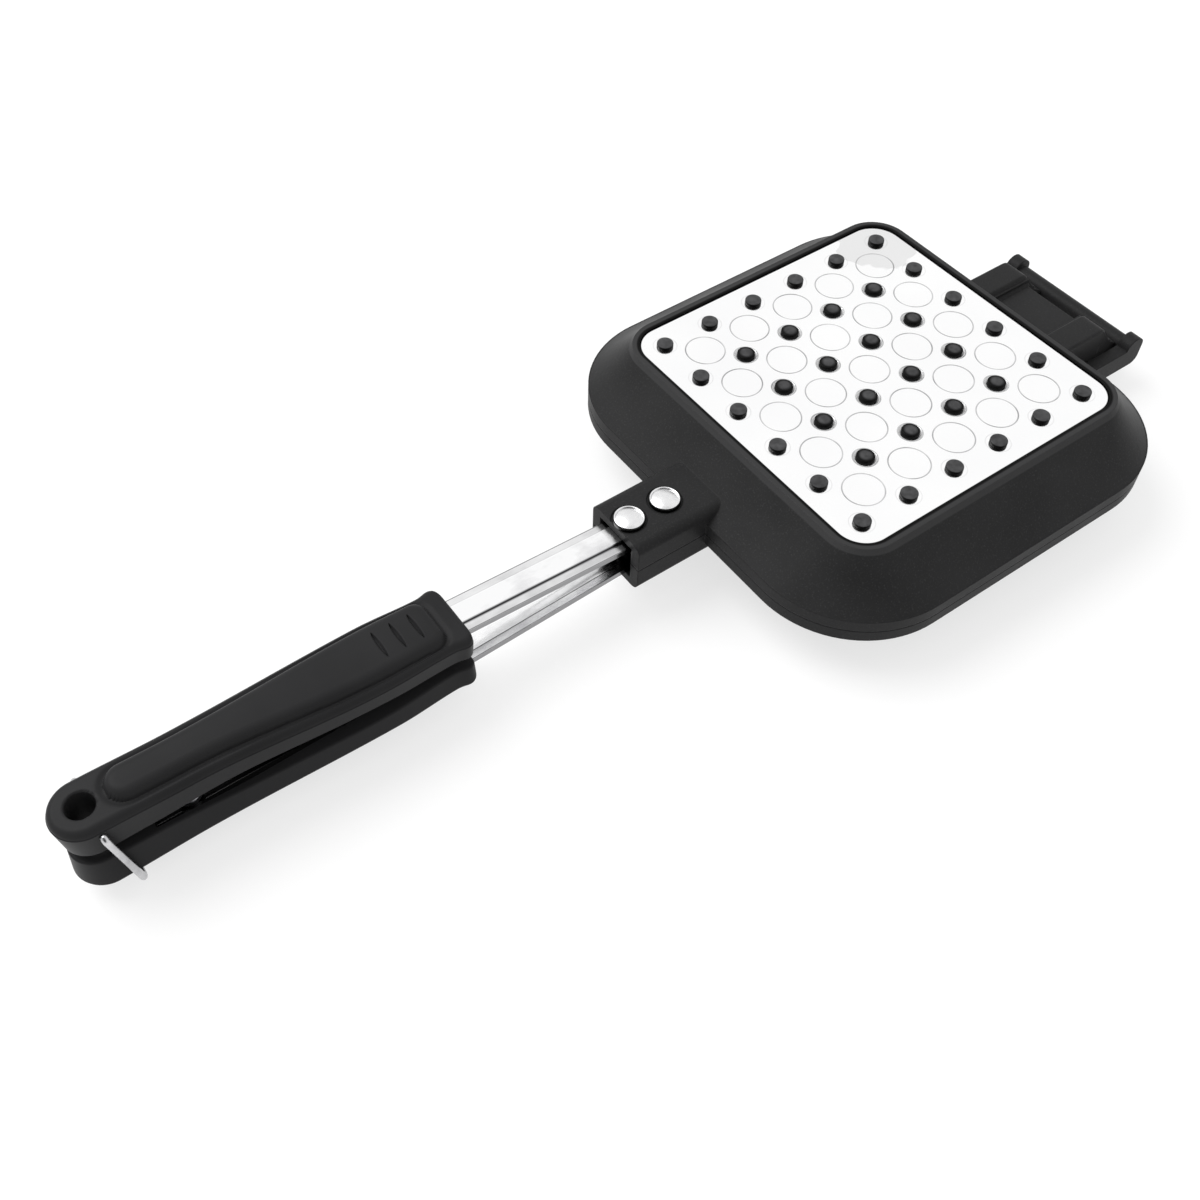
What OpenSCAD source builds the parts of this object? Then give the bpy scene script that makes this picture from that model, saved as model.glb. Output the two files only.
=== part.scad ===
// Double-sided pie iron: two square cast pans that close on a slice of filled bread, a claw hinge
// at one end, riveted steel arms with moulded grips, and a wire latch that holds the grips shut.
// X runs from the grips (-X) to the hinge (+X) and Z is up. The iron stands on its lower studs,
// with the origin at the centre of its footprint. Sizes are in millimetres.
//
// Each half is drawn in its own frame: X and Y from the middle of its plate, Z = 0 at the parting
// plane and +Z away from the other half. The lower half is the mirror image of that frame.

/* [Pans] */
// Width of a pan over its rim
rim_w = 144; // [138:1:150]
// Corner radius of the rim
rim_r = 34.5; // [26:0.5:38]
// Height of the upright rim band above the parting plane
rim_h = 4.2; // [3:0.1:5]
// Ledge between the rim band and the foot of the flank
rim_ledge = 0.3; // [0.1:0.1:0.6]
// Height of the border round the plate above the parting plane
pan_h = 19.6; // [18:0.1:22]
// Width of the flat border round the plate
border_t = 2.4; // [1.8:0.1:3.5]
// Corner radius of the border's outer edge
border_r = 12; // [9.5:0.5:16]
// Rounding between the border and the flank, sideways
brow_w = 1.2; // [0.8:0.1:2]
// Rounding between the border and the flank, in height
brow_h = 1.6; // [1:0.1:2.2]
// How far the flank curves in from a straight slope
flank_sag = 0.8; // [0:0.1:1.4]
// Thickness of the pan's floor and flank
wall = 3; // [2.4:0.1:3.6]
// Width of the flat lip where the pans meet
lip_w = 5.5; // [4.5:0.1:7]
// Gap between the closed pans
seam = 0.2; // [0.1:0.05:0.4]

/* [Heat plates] */
// Width of the steel plate
plate_w = 106; // [102:1:108]
// Corner radius of the plate
plate_r = 9; // [6:0.5:11]
// Thickness of the plate
plate_t = 1; // [0.8:0.1:1.4]
// Depth of the plate's face below the border
plate_sink = 0.55; // [0.3:0.05:0.9]
// Gap between the plate and the border
plate_gap = 0.4; // [0.2:0.05:0.6]
// Diameter of the round dishes pressed in the plate
dish_d = 12.4; // [10:0.2:13]
// Depth of the dishes
dish_depth = 0.45; // [0.2:0.05:0.6]

/* [Studs] */
// Studs along each side of the square grid
stud_n = 6; // [4:1:6]
// Distance between the studs
stud_pitch = 18; // [16:0.5:19]
// Diameter of the studs of the outer row
outer_stud_d = 4.8; // [4:0.1:5.4]
// Diameter of the inner studs
inner_stud_d = 5.5; // [4.6:0.1:6]
// Height of the studs above the border
stud_rise = 0.7; // [0.4:0.05:1]
// Crown of the inner studs' tops
stud_crown = 0.4; // [0.2:0.05:0.5]
// Gap between a stud and its hole in the plate
stud_gap = 0.1; // [0.05:0.01:0.2]
// Diameter of the countersink round an inner stud
stud_sink_d = 7.4; // [6.4:0.1:8]

/* [Sockets and rivets] */
// Length of the socket, from the rim to its mouth
socket_l = 25; // [23:0.5:31]
// Width of the socket
socket_w = 22.6; // [20:0.2:26]
// Height of the socket above the parting plane
socket_h = 9.3; // [8.6:0.1:10]
// Thickness of the socket's roof over the arm
roof_t = 3; // [2.4:0.1:3.4]
// Radius along the socket's top edges
socket_round = 3; // [1.5:0.1:4]
// Width of the channel in the socket
channel_w = 15.2; // [13.4:0.2:16]
// Distance from the socket's mouth to the first rivet
rivet_edge = 4.7; // [4:0.1:6]
// Distance between the rivets
rivet_pitch = 13.1; // [11:0.1:13.5]
// Diameter of a rivet's head
rivet_head_d = 9.6; // [8:0.2:10]
// Height of a rivet's head above its seat
rivet_head_h = 1.4; // [1:0.1:1.8]
// Diameter of a rivet's shank
rivet_d = 5; // [4:0.1:5.4]
// Diameter of a rivet's closed tail
rivet_tail_d = 8; // [7:0.1:9]
// Thickness of a rivet's closed tail
rivet_tail_t = 1.3; // [0.8:0.1:1.6]
// Depth of the round seat under a rivet's head
rivet_seat = 0.4; // [0.2:0.05:0.6]

/* [Arms] */
// Width of an arm
arm_w = 12.4; // [11:0.2:13]
// Thickness of the arm's strip
arm_t = 1.8; // [1.4:0.1:2]
// Width of the raised flat along the arm's middle
rib_w = 6.2; // [5:0.2:7]
// Height of the raised flat
rib_h = 1; // [0.6:0.1:1.2]
// Length of the arm between the socket and the grip
arm_free = 55; // [45:1:70]
// Rise of the arm from the socket to the grip
arm_rise = 2.6; // [1.6:0.1:3]
// Distance from the arm's rear end to the middle of the grip's round tail
arm_end_gap = 14; // [12:0.5:20]

/* [Grips] */
// Length of a grip
grip_l = 117.5; // [110:0.5:130]
// Width of the grip over its front lip
lip_grip_w = 24; // [22:0.2:26]
// Width of the waist behind the lip
waist_w = 21.4; // [20:0.2:23]
// Width of the grip at the front of the hand
hand_w = 22.8; // [21:0.2:25]
// Width of the grip's rear half and of its round tail
tail_w = 17.8; // [17:0.2:19]
// Height of the shoulders above the parting plane at the lip
lip_top = 10.6; // [10.2:0.1:11.4]
// Height of the shoulders above the parting plane at the front of the hand
hand_top = 11.7; // [11.4:0.1:12.6]
// Height of the shoulders above the parting plane at the tail
tail_top = 13.9; // [13:0.1:14.6]
// Height of the grip's inner face above the parting plane at the front
grip_gap_front = 4.4; // [3.4:0.1:4.6]
// Height of the grip's inner face above the parting plane at the tail
grip_gap_tail = 1.95; // [1.6:0.05:2.6]
// Height of the shoulder's curve
shoulder_h = 1.6; // [1.2:0.1:2]
// Width of the shoulder's curve
shoulder_w = 1.9; // [1.4:0.1:2.2]
// Lean of the grip's sides towards the parting plane, sideways per height
side_lean = 0.1; // [0.04:0.01:0.12]
// Depth of the groove round the thumb pad
groove_depth = 0.5; // [0.3:0.05:0.8]
// Height of the thumb pad above the shoulders
pad_rise = 1.3; // [0.8:0.1:1.6]
// Width of the thumb pad at the front
pad_front_w = 17; // [15:0.2:17.4]
// Width of the thumb pad at the rear
pad_rear_w = 10.2; // [9:0.2:11]
// Distance from the lip to the front of the pad
pad_start = 3; // [2:0.5:8]
// Distance from the pad's rear end to the tail's rear end
pad_end = 16; // [15.4:0.2:20]
// Number of finger grooves across the pad
notch_n = 3; // [1:1:4]
// Distance between the finger grooves
notch_pitch = 6; // [4:0.5:7]
// Distance from the lip to the first finger groove
notch_start = 10; // [7:0.5:14]
// Length of a finger groove
notch_l = 9; // [6:0.5:12]
// Diameter of the hanging hole
hang_d = 7.8; // [6:0.2:8]

/* [Grip fasteners] */
// Distance from the lip to the front screw
screw_front = 38; // [34:1:46]
// Distance from the front screw to the rear screw
screw_span = 46; // [36:1:50]
// Diameter of the screws
screw_d = 3.9; // [3.4:0.1:4.2]
// Diameter of a screw's head
screw_head_d = 7; // [6:0.2:8]
// Height of a screw's head
screw_head_h = 2.2; // [1.6:0.1:2.6]
// Outer diameter of the threaded inserts
insert_d = 6; // [5.6:0.1:6.6]
// Length of the threaded inserts
insert_l = 3.2; // [2.4:0.1:3.4]

/* [Latch] */
// Diameter of the latch wire
wire_d = 2; // [1.6:0.1:2.2]
// Height of the latch's pivot above the parting plane
pivot_h = 10; // [9:0.1:10.4]
// Distance from the pivot back to the middle of the grip's round tail
pivot_fore = 1.4; // [0.8:0.1:2.4]
// How far the closed cross wire sits in front of the pivot
latch_fore = 4; // [3.4:0.1:4.4]
// Clearance between the wire and the grips
latch_gap = 0.35; // [0.3:0.05:0.5]
// Length of the wire ends in the grip's side holes
pin_l = 3.9; // [3:0.1:4]
// Running clearance round the wire ends
pin_gap = 0.08; // [0.03:0.01:0.1]

/* [Hinge] */
// Distance from the rim to the hinge bar
bar_reach = 28.7; // [26:0.1:33]
// Depth of the hinge bar below the parting plane
bar_drop = 5.8; // [5:0.1:6.2]
// Diameter of the hinge bar
bar_d = 6.2; // [5.4:0.1:6.4]
// Clearance between the bar and the claws
claw_gap = 0.3; // [0.2:0.05:0.5]
// Thickness of the claws round the bar
claw_t = 3; // [2.4:0.1:3.4]
// Width of the hinge tab
tab_w = 44; // [38:0.5:48]
// Length of the tab from the rim
tab_l = 16.2; // [14:0.1:18]
// Height of the tab above the parting plane
tab_h = 5; // [4:0.1:5.2]
// Width of each claw
claw_w = 10.7; // [8:0.1:13]
// Drop of the middle of the tab between the claws
tab_step = 2; // [1:0.1:2.2]
// Gap between the tab and the cradle's walls
cradle_gap = 1.2; // [0.5:0.1:2]
// Thickness of the cradle's walls
cradle_t = 4.4; // [3.4:0.1:6]
// Depth of the cradle below the parting plane
cradle_h = 12; // [11:0.1:12.5]
// Depth of the cradle walls' top edges below the parting plane
cradle_top = 4.2; // [3.8:0.1:5.2]
// Radius of the lugs at the ends of the bar
lug_r = 3.8; // [3.4:0.1:4.4]
// Depth of the lugs' tops below the parting plane
lug_top = 0.5; // [0.3:0.1:1.2]

/* [Hidden] */
$fn = 64;

// Small overlap that lets cuts run past a face
past = 1;
// Running and assembly gap between touching parts of one half
snug = 0.05;
// Points on each rounded corner of a lofted outline
corner_steps = 12;
// Bands of the flank's curve
flank_bands = 5;
// Steps round the quarter of a grip's or a pad's round end
end_steps = 9;

// Widths that follow from the rim and the plate
rim_half = rim_w / 2;
border_w = plate_w + 2 * (plate_gap + border_t);
foot_w = rim_w - 2 * rim_ledge;
head_w = border_w + 2 * brow_w;
plate_top = pan_h - plate_sink;
plate_seat = plate_top - plate_t;
cavity_h = plate_seat - wall;
rest_h = pan_h + stud_rise;

// Places along the handle, as distances from the middle of the plate
socket_end = rim_half + socket_l;
front_rivet_at = socket_end - rivet_edge;
rear_rivet_at = front_rivet_at - rivet_pitch;
grip_start = socket_end + arm_free;
grip_end = grip_start + grip_l;
tail_at = grip_end - tail_w / 2;
pivot_at = tail_at - pivot_fore;
arm_start = rim_half + 2;
arm_end = tail_at - arm_end_gap;
front_screw_at = grip_start + screw_front;
rear_screw_at = front_screw_at + screw_span;
hand_at = grip_start + 26;
waist_at = grip_start + 7;
rear_at = grip_start + 83;
pad_at = grip_end - pad_end - pad_rear_w / 2;

// Heights of the arm's raised flat in the socket and in the grip
arm_z = socket_h - roof_t;
grip_arm_z = arm_z + arm_rise;
arm_bottom = grip_arm_z - rib_h - arm_t;

// Hinge places
bar_x = rim_half + bar_reach;
claw_in = bar_d / 2 + claw_gap;
claw_out = claw_in + claw_t;
cradle_in = tab_w / 2 + cradle_gap;
hinge_end = bar_x + lug_r;
pan_x = (grip_end - hinge_end) / 2;

// Latch: the cross wire's circle round the pivot clears the tail of the other grip
leg_y = tail_w / 2 + latch_gap + wire_d / 2 + snug;
latch_drop = pivot_h + tail_top + latch_gap + wire_d / 2;
latch_r = sqrt(pow(latch_fore, 2) + pow(latch_drop, 2));
latch_lean = asin(latch_fore / latch_r);
tail_sweep_r = latch_r - wire_d / 2 - latch_gap;

CAST = "#26272a";
GRIP = "#1f2023";
PLATE = "#d9dadb";
CHROME = "#cfd2d6";
RIVET = "#c4c7ca";
BRASS = "#b08d4a";

// ---- Shared shapes ----

// Square with rounded corners, in the plane
module rounded_square(w, r) {
    square([w - 2 * r, w], center = true);
    square([w, w - 2 * r], center = true);
    for (sx = [-1, 1], sy = [-1, 1])
        translate([sx, sy] * (w / 2 - r))
            circle(r);
}

// The same outline as a ring of points at height z, for lofts
function square_ring(w, r, z) = [
    for (k = [0:3], i = [0:corner_steps])
        let (a = 90 * k + 90 * i / corner_steps, c = 90 * k + 45, o = (w / 2 - r) * sqrt(2))
        [o * cos(c) + r * cos(a), o * sin(c) + r * sin(a), z]
];

// Solid through a stack of rings that have the same number of points
module loft(rings) {
    n = len(rings[0]);
    last = len(rings) - 1;
    sides = [
        for (i = [0:last - 1], j = [0:n - 1])
            let (k = (j + 1) % n)
            each [[i * n + j, (i + 1) * n + j, (i + 1) * n + k], [i * n + j, (i + 1) * n + k, i * n + k]]
    ];
    bottom = [[for (j = [0:n - 1]) j]];
    top = [[for (j = [n - 1:-1:0]) last * n + j]];
    polyhedron([for (ring = rings) each ring], concat(sides, bottom, top));
}

// Profile in X and Z, extruded along Y from y0 to y1
module across(y0, y1) {
    translate([0, y1, 0])
        rotate([90, 0, 0])
            linear_extrude(y1 - y0)
                children();
}

// Profile in Y and Z, extruded along X from x0 to x1
module along(x0, x1) {
    translate([x0, 0, 0])
        rotate([90, 0, 90])
            linear_extrude(x1 - x0)
                children();
}

// Round post on the handle's centre line, at the distance s from the middle of the plate
module post(s, d, z0, z1) {
    translate([-s, 0, z0])
        cylinder(d = d, h = z1 - z0);
}

function ease(t) = t * t * (3 - 2 * t);

// Value at the place s, eased between the key points [place, value]
function eased(keys, s, i = 0) =
    s > keys[i + 1][0] && i < len(keys) - 2
    ? eased(keys, s, i + 1)
    : keys[i][1] + (keys[i + 1][1] - keys[i][1])
        * ease(max(0, min(1, (s - keys[i][0]) / (keys[i + 1][0] - keys[i][0]))));

// ---- Pans ----

function corner_r(w) = border_r + (rim_r - border_r) * (w - border_w) / (rim_w - border_w);
function flank_w(t) = foot_w + (head_w - foot_w) * t - 8 * flank_sag * t * (1 - t);
function flank_z(t) = rim_h + (pan_h - brow_h - rim_h) * t;

// Width of the flank's outside at the height z
function flank_at(z) = flank_w((z - rim_h) / (pan_h - brow_h - rim_h));

module pan_outside() {
    translate([0, 0, seam / 2])
        linear_extrude(rim_h - seam / 2)
            rounded_square(rim_w, rim_r);
    rings = [for (i = [0:flank_bands]) [flank_w(i / flank_bands), flank_z(i / flank_bands)]];
    brow = [[border_w + 0.6 * brow_w, pan_h - 0.35 * brow_h], [border_w, pan_h]];
    loft([for (r = concat([[foot_w, rim_h - snug]], rings, brow)) square_ring(r[0], corner_r(r[0]), r[1])]);
}

// The hollow for the bread, open at the parting plane
module pan_hollow() {
    knee_z = cavity_h - wall;
    mouth = rim_w - 2 * lip_w;
    knee = flank_at(knee_z) - 3.2 * wall;
    floor_w = knee - 2 * wall;
    levels = [[mouth, -past], [mouth, seam], [knee, knee_z], [knee - 0.45 * wall, cavity_h - 0.35 * wall],
        [floor_w, cavity_h]];
    loft([for (l = levels) square_ring(l[0], corner_r(l[0]), l[1])]);
}

module at_studs(inner) {
    span = (stud_n - 1) / 2;
    for (i = [0:stud_n - 1], j = [0:stud_n - 1])
        if ((i > 0 && i < stud_n - 1 && j > 0 && j < stud_n - 1) == inner)
            translate([i - span, j - span, 0] * stud_pitch)
                children();
}

// Outer studs have flat tops and carry the iron. Inner studs are crowned.
module studs() {
    crown_r = (pow(inner_stud_d / 2, 2) + pow(stud_crown, 2)) / (2 * stud_crown);
    at_studs(false)
        translate([0, 0, plate_seat - snug])
            cylinder(d = outer_stud_d, h = rest_h - plate_seat + snug);
    at_studs(true)
        intersection() {
            translate([0, 0, plate_seat - snug])
                cylinder(d = inner_stud_d, h = rest_h - plate_seat + snug);
            translate([0, 0, rest_h - crown_r])
                sphere(crown_r, $fn = 96);
        }
}

// Cast socket that holds the arm under its roof, open at its mouth and at the parting plane
module socket_block() {
    inner = rim_half - 2.4 * wall;
    along(-socket_end, -inner) {
        translate([-socket_w / 2, seam / 2])
            square([socket_w, socket_h - socket_round - seam / 2]);
        translate([-socket_w / 2 + socket_round, seam / 2])
            square([socket_w - 2 * socket_round, socket_h - seam / 2]);
        for (s = [-1, 1])
            translate([s * (socket_w / 2 - socket_round), socket_h - socket_round])
                circle(socket_round);
    }
}

module socket_cuts() {
    along(-socket_end - past, -rim_half - 1)
        translate([-channel_w / 2, -past])
            square([channel_w, arm_z + past]);
    for (s = [front_rivet_at, rear_rivet_at]) {
        post(s, rivet_d + 2 * snug, 0, socket_h + past);
        post(s, rivet_head_d + 1.2, socket_h - rivet_seat, socket_h + past);
    }
}

// One half's casting. The children are its side of the hinge.
module pan() {
    difference() {
        union() {
            pan_outside();
            socket_block();
            children();
        }
        pan_hollow();
        socket_cuts();
        translate([0, 0, plate_seat])
            linear_extrude(pan_h)
                rounded_square(plate_w + 2 * plate_gap, plate_r + plate_gap);
    }
    studs();
}

// ---- Hinge ----

function on_bar(r, a) = [bar_x + r * cos(a), -bar_drop + r * sin(a)];

// Claw that comes down in front of the bar and curls under it
module claw_profile() {
    difference() {
        union() {
            polygon([
                [rim_half - 2 * wall, seam / 2],
                [rim_half - 2 * wall, tab_h],
                [rim_half + tab_l, tab_h],
                [rim_half + tab_l + claw_t * 1.6, -bar_drop + claw_out * 0.7],
                on_bar(claw_in, 155),
                on_bar(claw_out, 205),
                [rim_half + tab_l - claw_t * 1.4, seam / 2]
            ]);
            intersection() {
                translate([bar_x, -bar_drop])
                    circle(claw_out);
                polygon([on_bar(0, 0), on_bar(2 * claw_out, 155), on_bar(2 * claw_out, 200),
                    on_bar(2 * claw_out, 250), on_bar(2 * claw_out, 300)]);
            }
        }
        translate([bar_x, -bar_drop])
            circle(claw_in);
    }
}

module hinge_tab() {
    for (s = [-1, 1]) {
        middle = s * (tab_w - claw_w) / 2;
        across(middle - claw_w / 2, middle + claw_w / 2)
            claw_profile();
    }
    across(-tab_w / 2 + claw_w - snug, tab_w / 2 - claw_w + snug)
        translate([rim_half - 2 * wall, seam / 2])
            square([tab_l + 2 * wall - 0.8, tab_h - tab_step - seam / 2]);
}

// Side wall of the cradle, with the lug round the end of the bar
module cradle_profile() {
    foot_r = 3;
    root = rim_half - 4 * wall;
    translate([root, cradle_top])
        square([bar_x - root, cradle_h - cradle_top]);
    translate([bar_x, lug_top + lug_r])
        circle(lug_r);
    translate([bar_x - lug_r, lug_top + lug_r])
        square([2 * lug_r, cradle_h - foot_r - lug_top - lug_r]);
    translate([bar_x - lug_r, cradle_h - foot_r - snug])
        square([2 * lug_r - foot_r, foot_r + snug]);
    translate([hinge_end - foot_r, cradle_h - foot_r])
        circle(foot_r);
}

module hinge_cradle() {
    for (s = [-1, 1]) {
        middle = s * (cradle_in + cradle_t / 2);
        across(middle - cradle_t / 2, middle + cradle_t / 2)
            cradle_profile();
    }
    translate([bar_x, cradle_in + snug, bar_drop])
        rotate([90, 0, 0])
            cylinder(d = bar_d, h = 2 * (cradle_in + snug));
}

// ---- Heat plate ----

module heat_plate() {
    dish_r = (pow(dish_d / 2, 2) + pow(dish_depth, 2)) / (2 * dish_depth);
    sink_h = 0.6 * plate_t;
    cells = (stud_n - 2) / 2;
    difference() {
        translate([0, 0, plate_seat])
            linear_extrude(plate_t)
                rounded_square(plate_w, plate_r);
        at_studs(false)
            translate([0, 0, plate_seat - past])
                cylinder(d = outer_stud_d + 2 * stud_gap, h = plate_t + 2 * past);
        at_studs(true) {
            translate([0, 0, plate_seat - past])
                cylinder(d = inner_stud_d + 2 * stud_gap, h = plate_t + 2 * past);
            translate([0, 0, plate_top - sink_h])
                cylinder(d1 = inner_stud_d + 2 * stud_gap, d2 = stud_sink_d, h = sink_h + snug / 10);
        }
        for (i = [-cells:cells], j = [-cells:cells])
            translate([i * stud_pitch, j * stud_pitch, plate_top])
                rotate_extrude()
                    intersection() {
                        translate([0, dish_r - dish_depth])
                            circle(dish_r, $fn = 360);
                        translate([0, -plate_t])
                            square([dish_d, plate_t + snug / 10]);
                    }
    }
}

// ---- Arm and rivets ----

// Pressed strip with a raised flat, from its top down. k flattens it for the tilted stretch.
module arm_section(k) {
    half = arm_w / 2;
    flat = rib_w / 2;
    slope = 0.8 * rib_h;
    top = [[half, -rib_h], [flat + slope, -rib_h], [flat, 0], [-flat, 0], [-flat - slope, -rib_h],
        [-half, -rib_h]];
    under = [[-half, -rib_h - arm_t], [-flat - slope / 2, -rib_h - arm_t], [-flat + slope / 2, -arm_t],
        [flat - slope / 2, -arm_t], [flat + slope / 2, -rib_h - arm_t], [half, -rib_h - arm_t]];
    polygon([for (p = concat(top, under)) [p[0], k * p[1]]]);
}

// Stretch of the arm between two places, with its top at z0 and z1
module arm_run(s0, z0, s1, z1) {
    tilt = atan((z1 - z0) / (s1 - s0));
    intersection() {
        translate([-s0, 0, z0])
            rotate([0, tilt, 0])
                rotate([90, 0, -90])
                    translate([0, 0, -past])
                        linear_extrude(s1 - s0 + 3 * past)
                            arm_section(cos(tilt));
        translate([-s1, -arm_w, -rest_h])
            cube([s1 - s0, 2 * arm_w, 3 * rest_h]);
    }
}

module arm() {
    low_bend = socket_end + 1;
    high_bend = grip_start - 1;
    difference() {
        union() {
            arm_run(arm_start, arm_z, low_bend, arm_z);
            arm_run(low_bend, arm_z, high_bend, grip_arm_z);
            arm_run(high_bend, grip_arm_z, arm_end, grip_arm_z);
        }
        for (s = [front_rivet_at, rear_rivet_at])
            post(s, rivet_d + 2 * snug, 0, arm_z + past);
        for (s = [front_screw_at, rear_screw_at])
            post(s, screw_d + 6 * snug, 0, grip_arm_z + past);
    }
}

// One-piece rivet: a low crowned head with a raised edge, the shank, and the tail closed under the arm
module rivet(s) {
    seat_z = socket_h - rivet_seat;
    edge_r = 0.3 * rivet_head_h;
    crown_r = 2.4 * rivet_head_d;
    tail_z = arm_z - rib_h - arm_t;
    translate([-s, 0, 0])
        rotate_extrude() {
            translate([0, seat_z])
                square([rivet_head_d / 2 - edge_r, rivet_head_h - 2 * edge_r]);
            translate([0, seat_z])
                square([rivet_head_d / 2, rivet_head_h - edge_r]);
            translate([rivet_head_d / 2 - edge_r, seat_z + rivet_head_h - edge_r])
                circle(edge_r, $fn = 24);
            intersection() {
                translate([0, seat_z])
                    square([rivet_head_d / 2 - 2 * edge_r, 2 * rivet_head_h]);
                translate([0, seat_z + rivet_head_h - crown_r])
                    circle(crown_r, $fn = 180);
            }
            translate([0, tail_z - snug])
                square([rivet_d / 2, seat_z - tail_z + 2 * snug]);
            translate([0, tail_z - rivet_tail_t])
                square([rivet_tail_d / 2, rivet_tail_t]);
        }
}

// ---- Grip ----

width_keys = [[grip_start, lip_grip_w], [waist_at, waist_w], [hand_at, hand_w], [rear_at, tail_w],
    [tail_at, tail_w]];
top_keys = [[grip_start, lip_top], [hand_at, hand_top], [rear_at, tail_top - 0.3], [tail_at, tail_top]];
gap_keys = [[grip_start, grip_gap_front], [hand_at, grip_gap_front], [rear_at, grip_gap_tail],
    [tail_at, grip_gap_tail]];
pad_keys = [[grip_start, pad_front_w], [hand_at, pad_front_w], [rear_at, pad_rear_w],
    [tail_at, pad_rear_w]];

// Half of the grip's section, from its inner face round the shoulder to the floor of the groove.
// w is the half width, z0 the inner face and z1 the top of the shoulder.
function grip_side(w, z0, z1) = let (foot = w - side_lean * (z1 - shoulder_h - z0 - 0.6)) [
    [foot - 1.1, z0 - 0.5],
    [foot, z0 + 0.6],
    [w, z1 - shoulder_h],
    [w - 0.15 * shoulder_w, z1 - 0.5 * shoulder_h],
    [w - 0.5 * shoulder_w, z1 - 0.15 * shoulder_h],
    [w - shoulder_w, z1],
    [w - shoulder_w - 0.4, z1 - groove_depth]
];

// Closes a half section: up its far side, then down the near one
function mirrored(side) = concat([for (p = side) [-p[0], p[1]]], [for (i = [len(side) - 1:-1:0]) side[i]]);

// Ring of the grip at the place s, drawn in by the amount inset
function grip_ring(s, inset = 0) =
    let (
        w = eased(width_keys, s) / 2 - inset,
        z0 = eased(gap_keys, s) + inset,
        z1 = eased(top_keys, s) - inset
    )
    [for (p = mirrored(grip_side(w, z0, z1))) [-s, p[0], p[1]]];

function pad_side(w, z) = [[w, z - groove_depth - 1], [w, z + pad_rise - 0.45], [w - 0.15, z + pad_rise - 0.15],
    [w - 0.5, z + pad_rise]];

function pad_ring(s) =
    [for (p = mirrored(pad_side(eased(pad_keys, s) / 2, eased(top_keys, s)))) [-s, p[0], p[1]]];

// Rings that carry a half section round the upright axis at the place s, for a round end
function round_end(s, side) = [
    for (i = [1:end_steps])
        let (a = 90 * i / (end_steps + 0.5))
        [for (p = mirrored(side)) [-s - abs(p[0]) * sin(a), p[0] * cos(a), p[1]]]
];

// Places of the rings between the stops [place, steps to the next stop]
function rings_at(stops) = [
    for (k = [0:len(stops) - 1])
        for (i = [0:max(0, stops[k][1] - 1)])
            stops[k][1] == 0 ? stops[k][0] : stops[k][0] + (stops[k + 1][0] - stops[k][0]) * i / stops[k][1]
];

module grip_blank() {
    stops = [[grip_start + 0.7, 4], [waist_at, 5], [hand_at, 8], [rear_at, 1], [tail_at, 0]];
    loft(concat(
        [grip_ring(grip_start - 0.5, 0.85)],
        [for (s = rings_at(stops)) grip_ring(s)],
        round_end(tail_at, grip_side(tail_w / 2, grip_gap_tail, tail_top))
    ));
}

module pad_blank() {
    stops = [[grip_start + pad_start, 5], [hand_at, 8], [rear_at, 1], [pad_at, 0]];
    loft(concat(
        [for (s = rings_at(stops)) pad_ring(s)],
        round_end(pad_at, pad_side(pad_rear_w / 2, eased(top_keys, pad_at)))
    ));
}

// Trims the blank flat at its front and along its inner face
module grip_faces() {
    stops = [[grip_start - 3, 1], [grip_start + 0.7, 4], [waist_at, 5], [hand_at, 8], [rear_at, 1], [grip_end + 3, 0]];
    translate([-grip_start, -tail_w, -past])
        cube([past, 2 * tail_w, rest_h]);
    across(-tail_w, tail_w)
        polygon(concat(
            [[-grip_end - 3, -past], [-grip_start + 3, -past]],
            [for (s = rings_at(stops)) [-s, eased(gap_keys, s)]]
        ));
}

// What the other half's latch sweeps past: the tail is rounded to the cross wire's circle
module tail_sweep() {
    wire_front = pivot_at - latch_fore + wire_d / 2 + latch_gap - 0.4;
    across(-tail_w, tail_w)
        difference() {
            translate([-grip_end - past, 0])
                square([grip_end + past - wire_front, 2 * rest_h]);
            translate([-pivot_at, -pivot_h])
                circle(tail_sweep_r, $fn = 128);
        }
}

// Channel for the arm, open towards the parting plane
module arm_channel() {
    end = arm_end + 0.5;
    along(-end, -grip_start + past) {
        translate([-arm_w / 2 - 3 * snug, -past])
            square([arm_w + 6 * snug, grip_arm_z - rib_h + past]);
        translate([-rib_w / 2 - rib_h, 0])
            square([rib_w + 2 * rib_h, grip_arm_z]);
    }
}

module grip() {
    difference() {
        union() {
            grip_blank();
            pad_blank();
        }
        grip_faces();
        tail_sweep();
        arm_channel();
        post(tail_at, hang_d, -past, rest_h);
        for (s = [front_screw_at, rear_screw_at])
            post(s, insert_d + 2 * snug, 0, grip_arm_z + insert_l + snug);
        for (i = [0:notch_n - 1]) {
            s = grip_start + notch_start + i * notch_pitch;
            notch_z = eased(top_keys, s) + pad_rise;
            translate([-s, notch_l / 2, notch_z])
                rotate([90, 0, 0])
                    cylinder(d = 1.5, h = notch_l, $fn = 24);
        }
        children();
    }
}

module insert(s) {
    difference() {
        post(s, insert_d, grip_arm_z, grip_arm_z + insert_l);
        post(s, screw_d + 2 * snug, grip_arm_z - past, grip_arm_z + insert_l - 0.6);
    }
}

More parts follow.
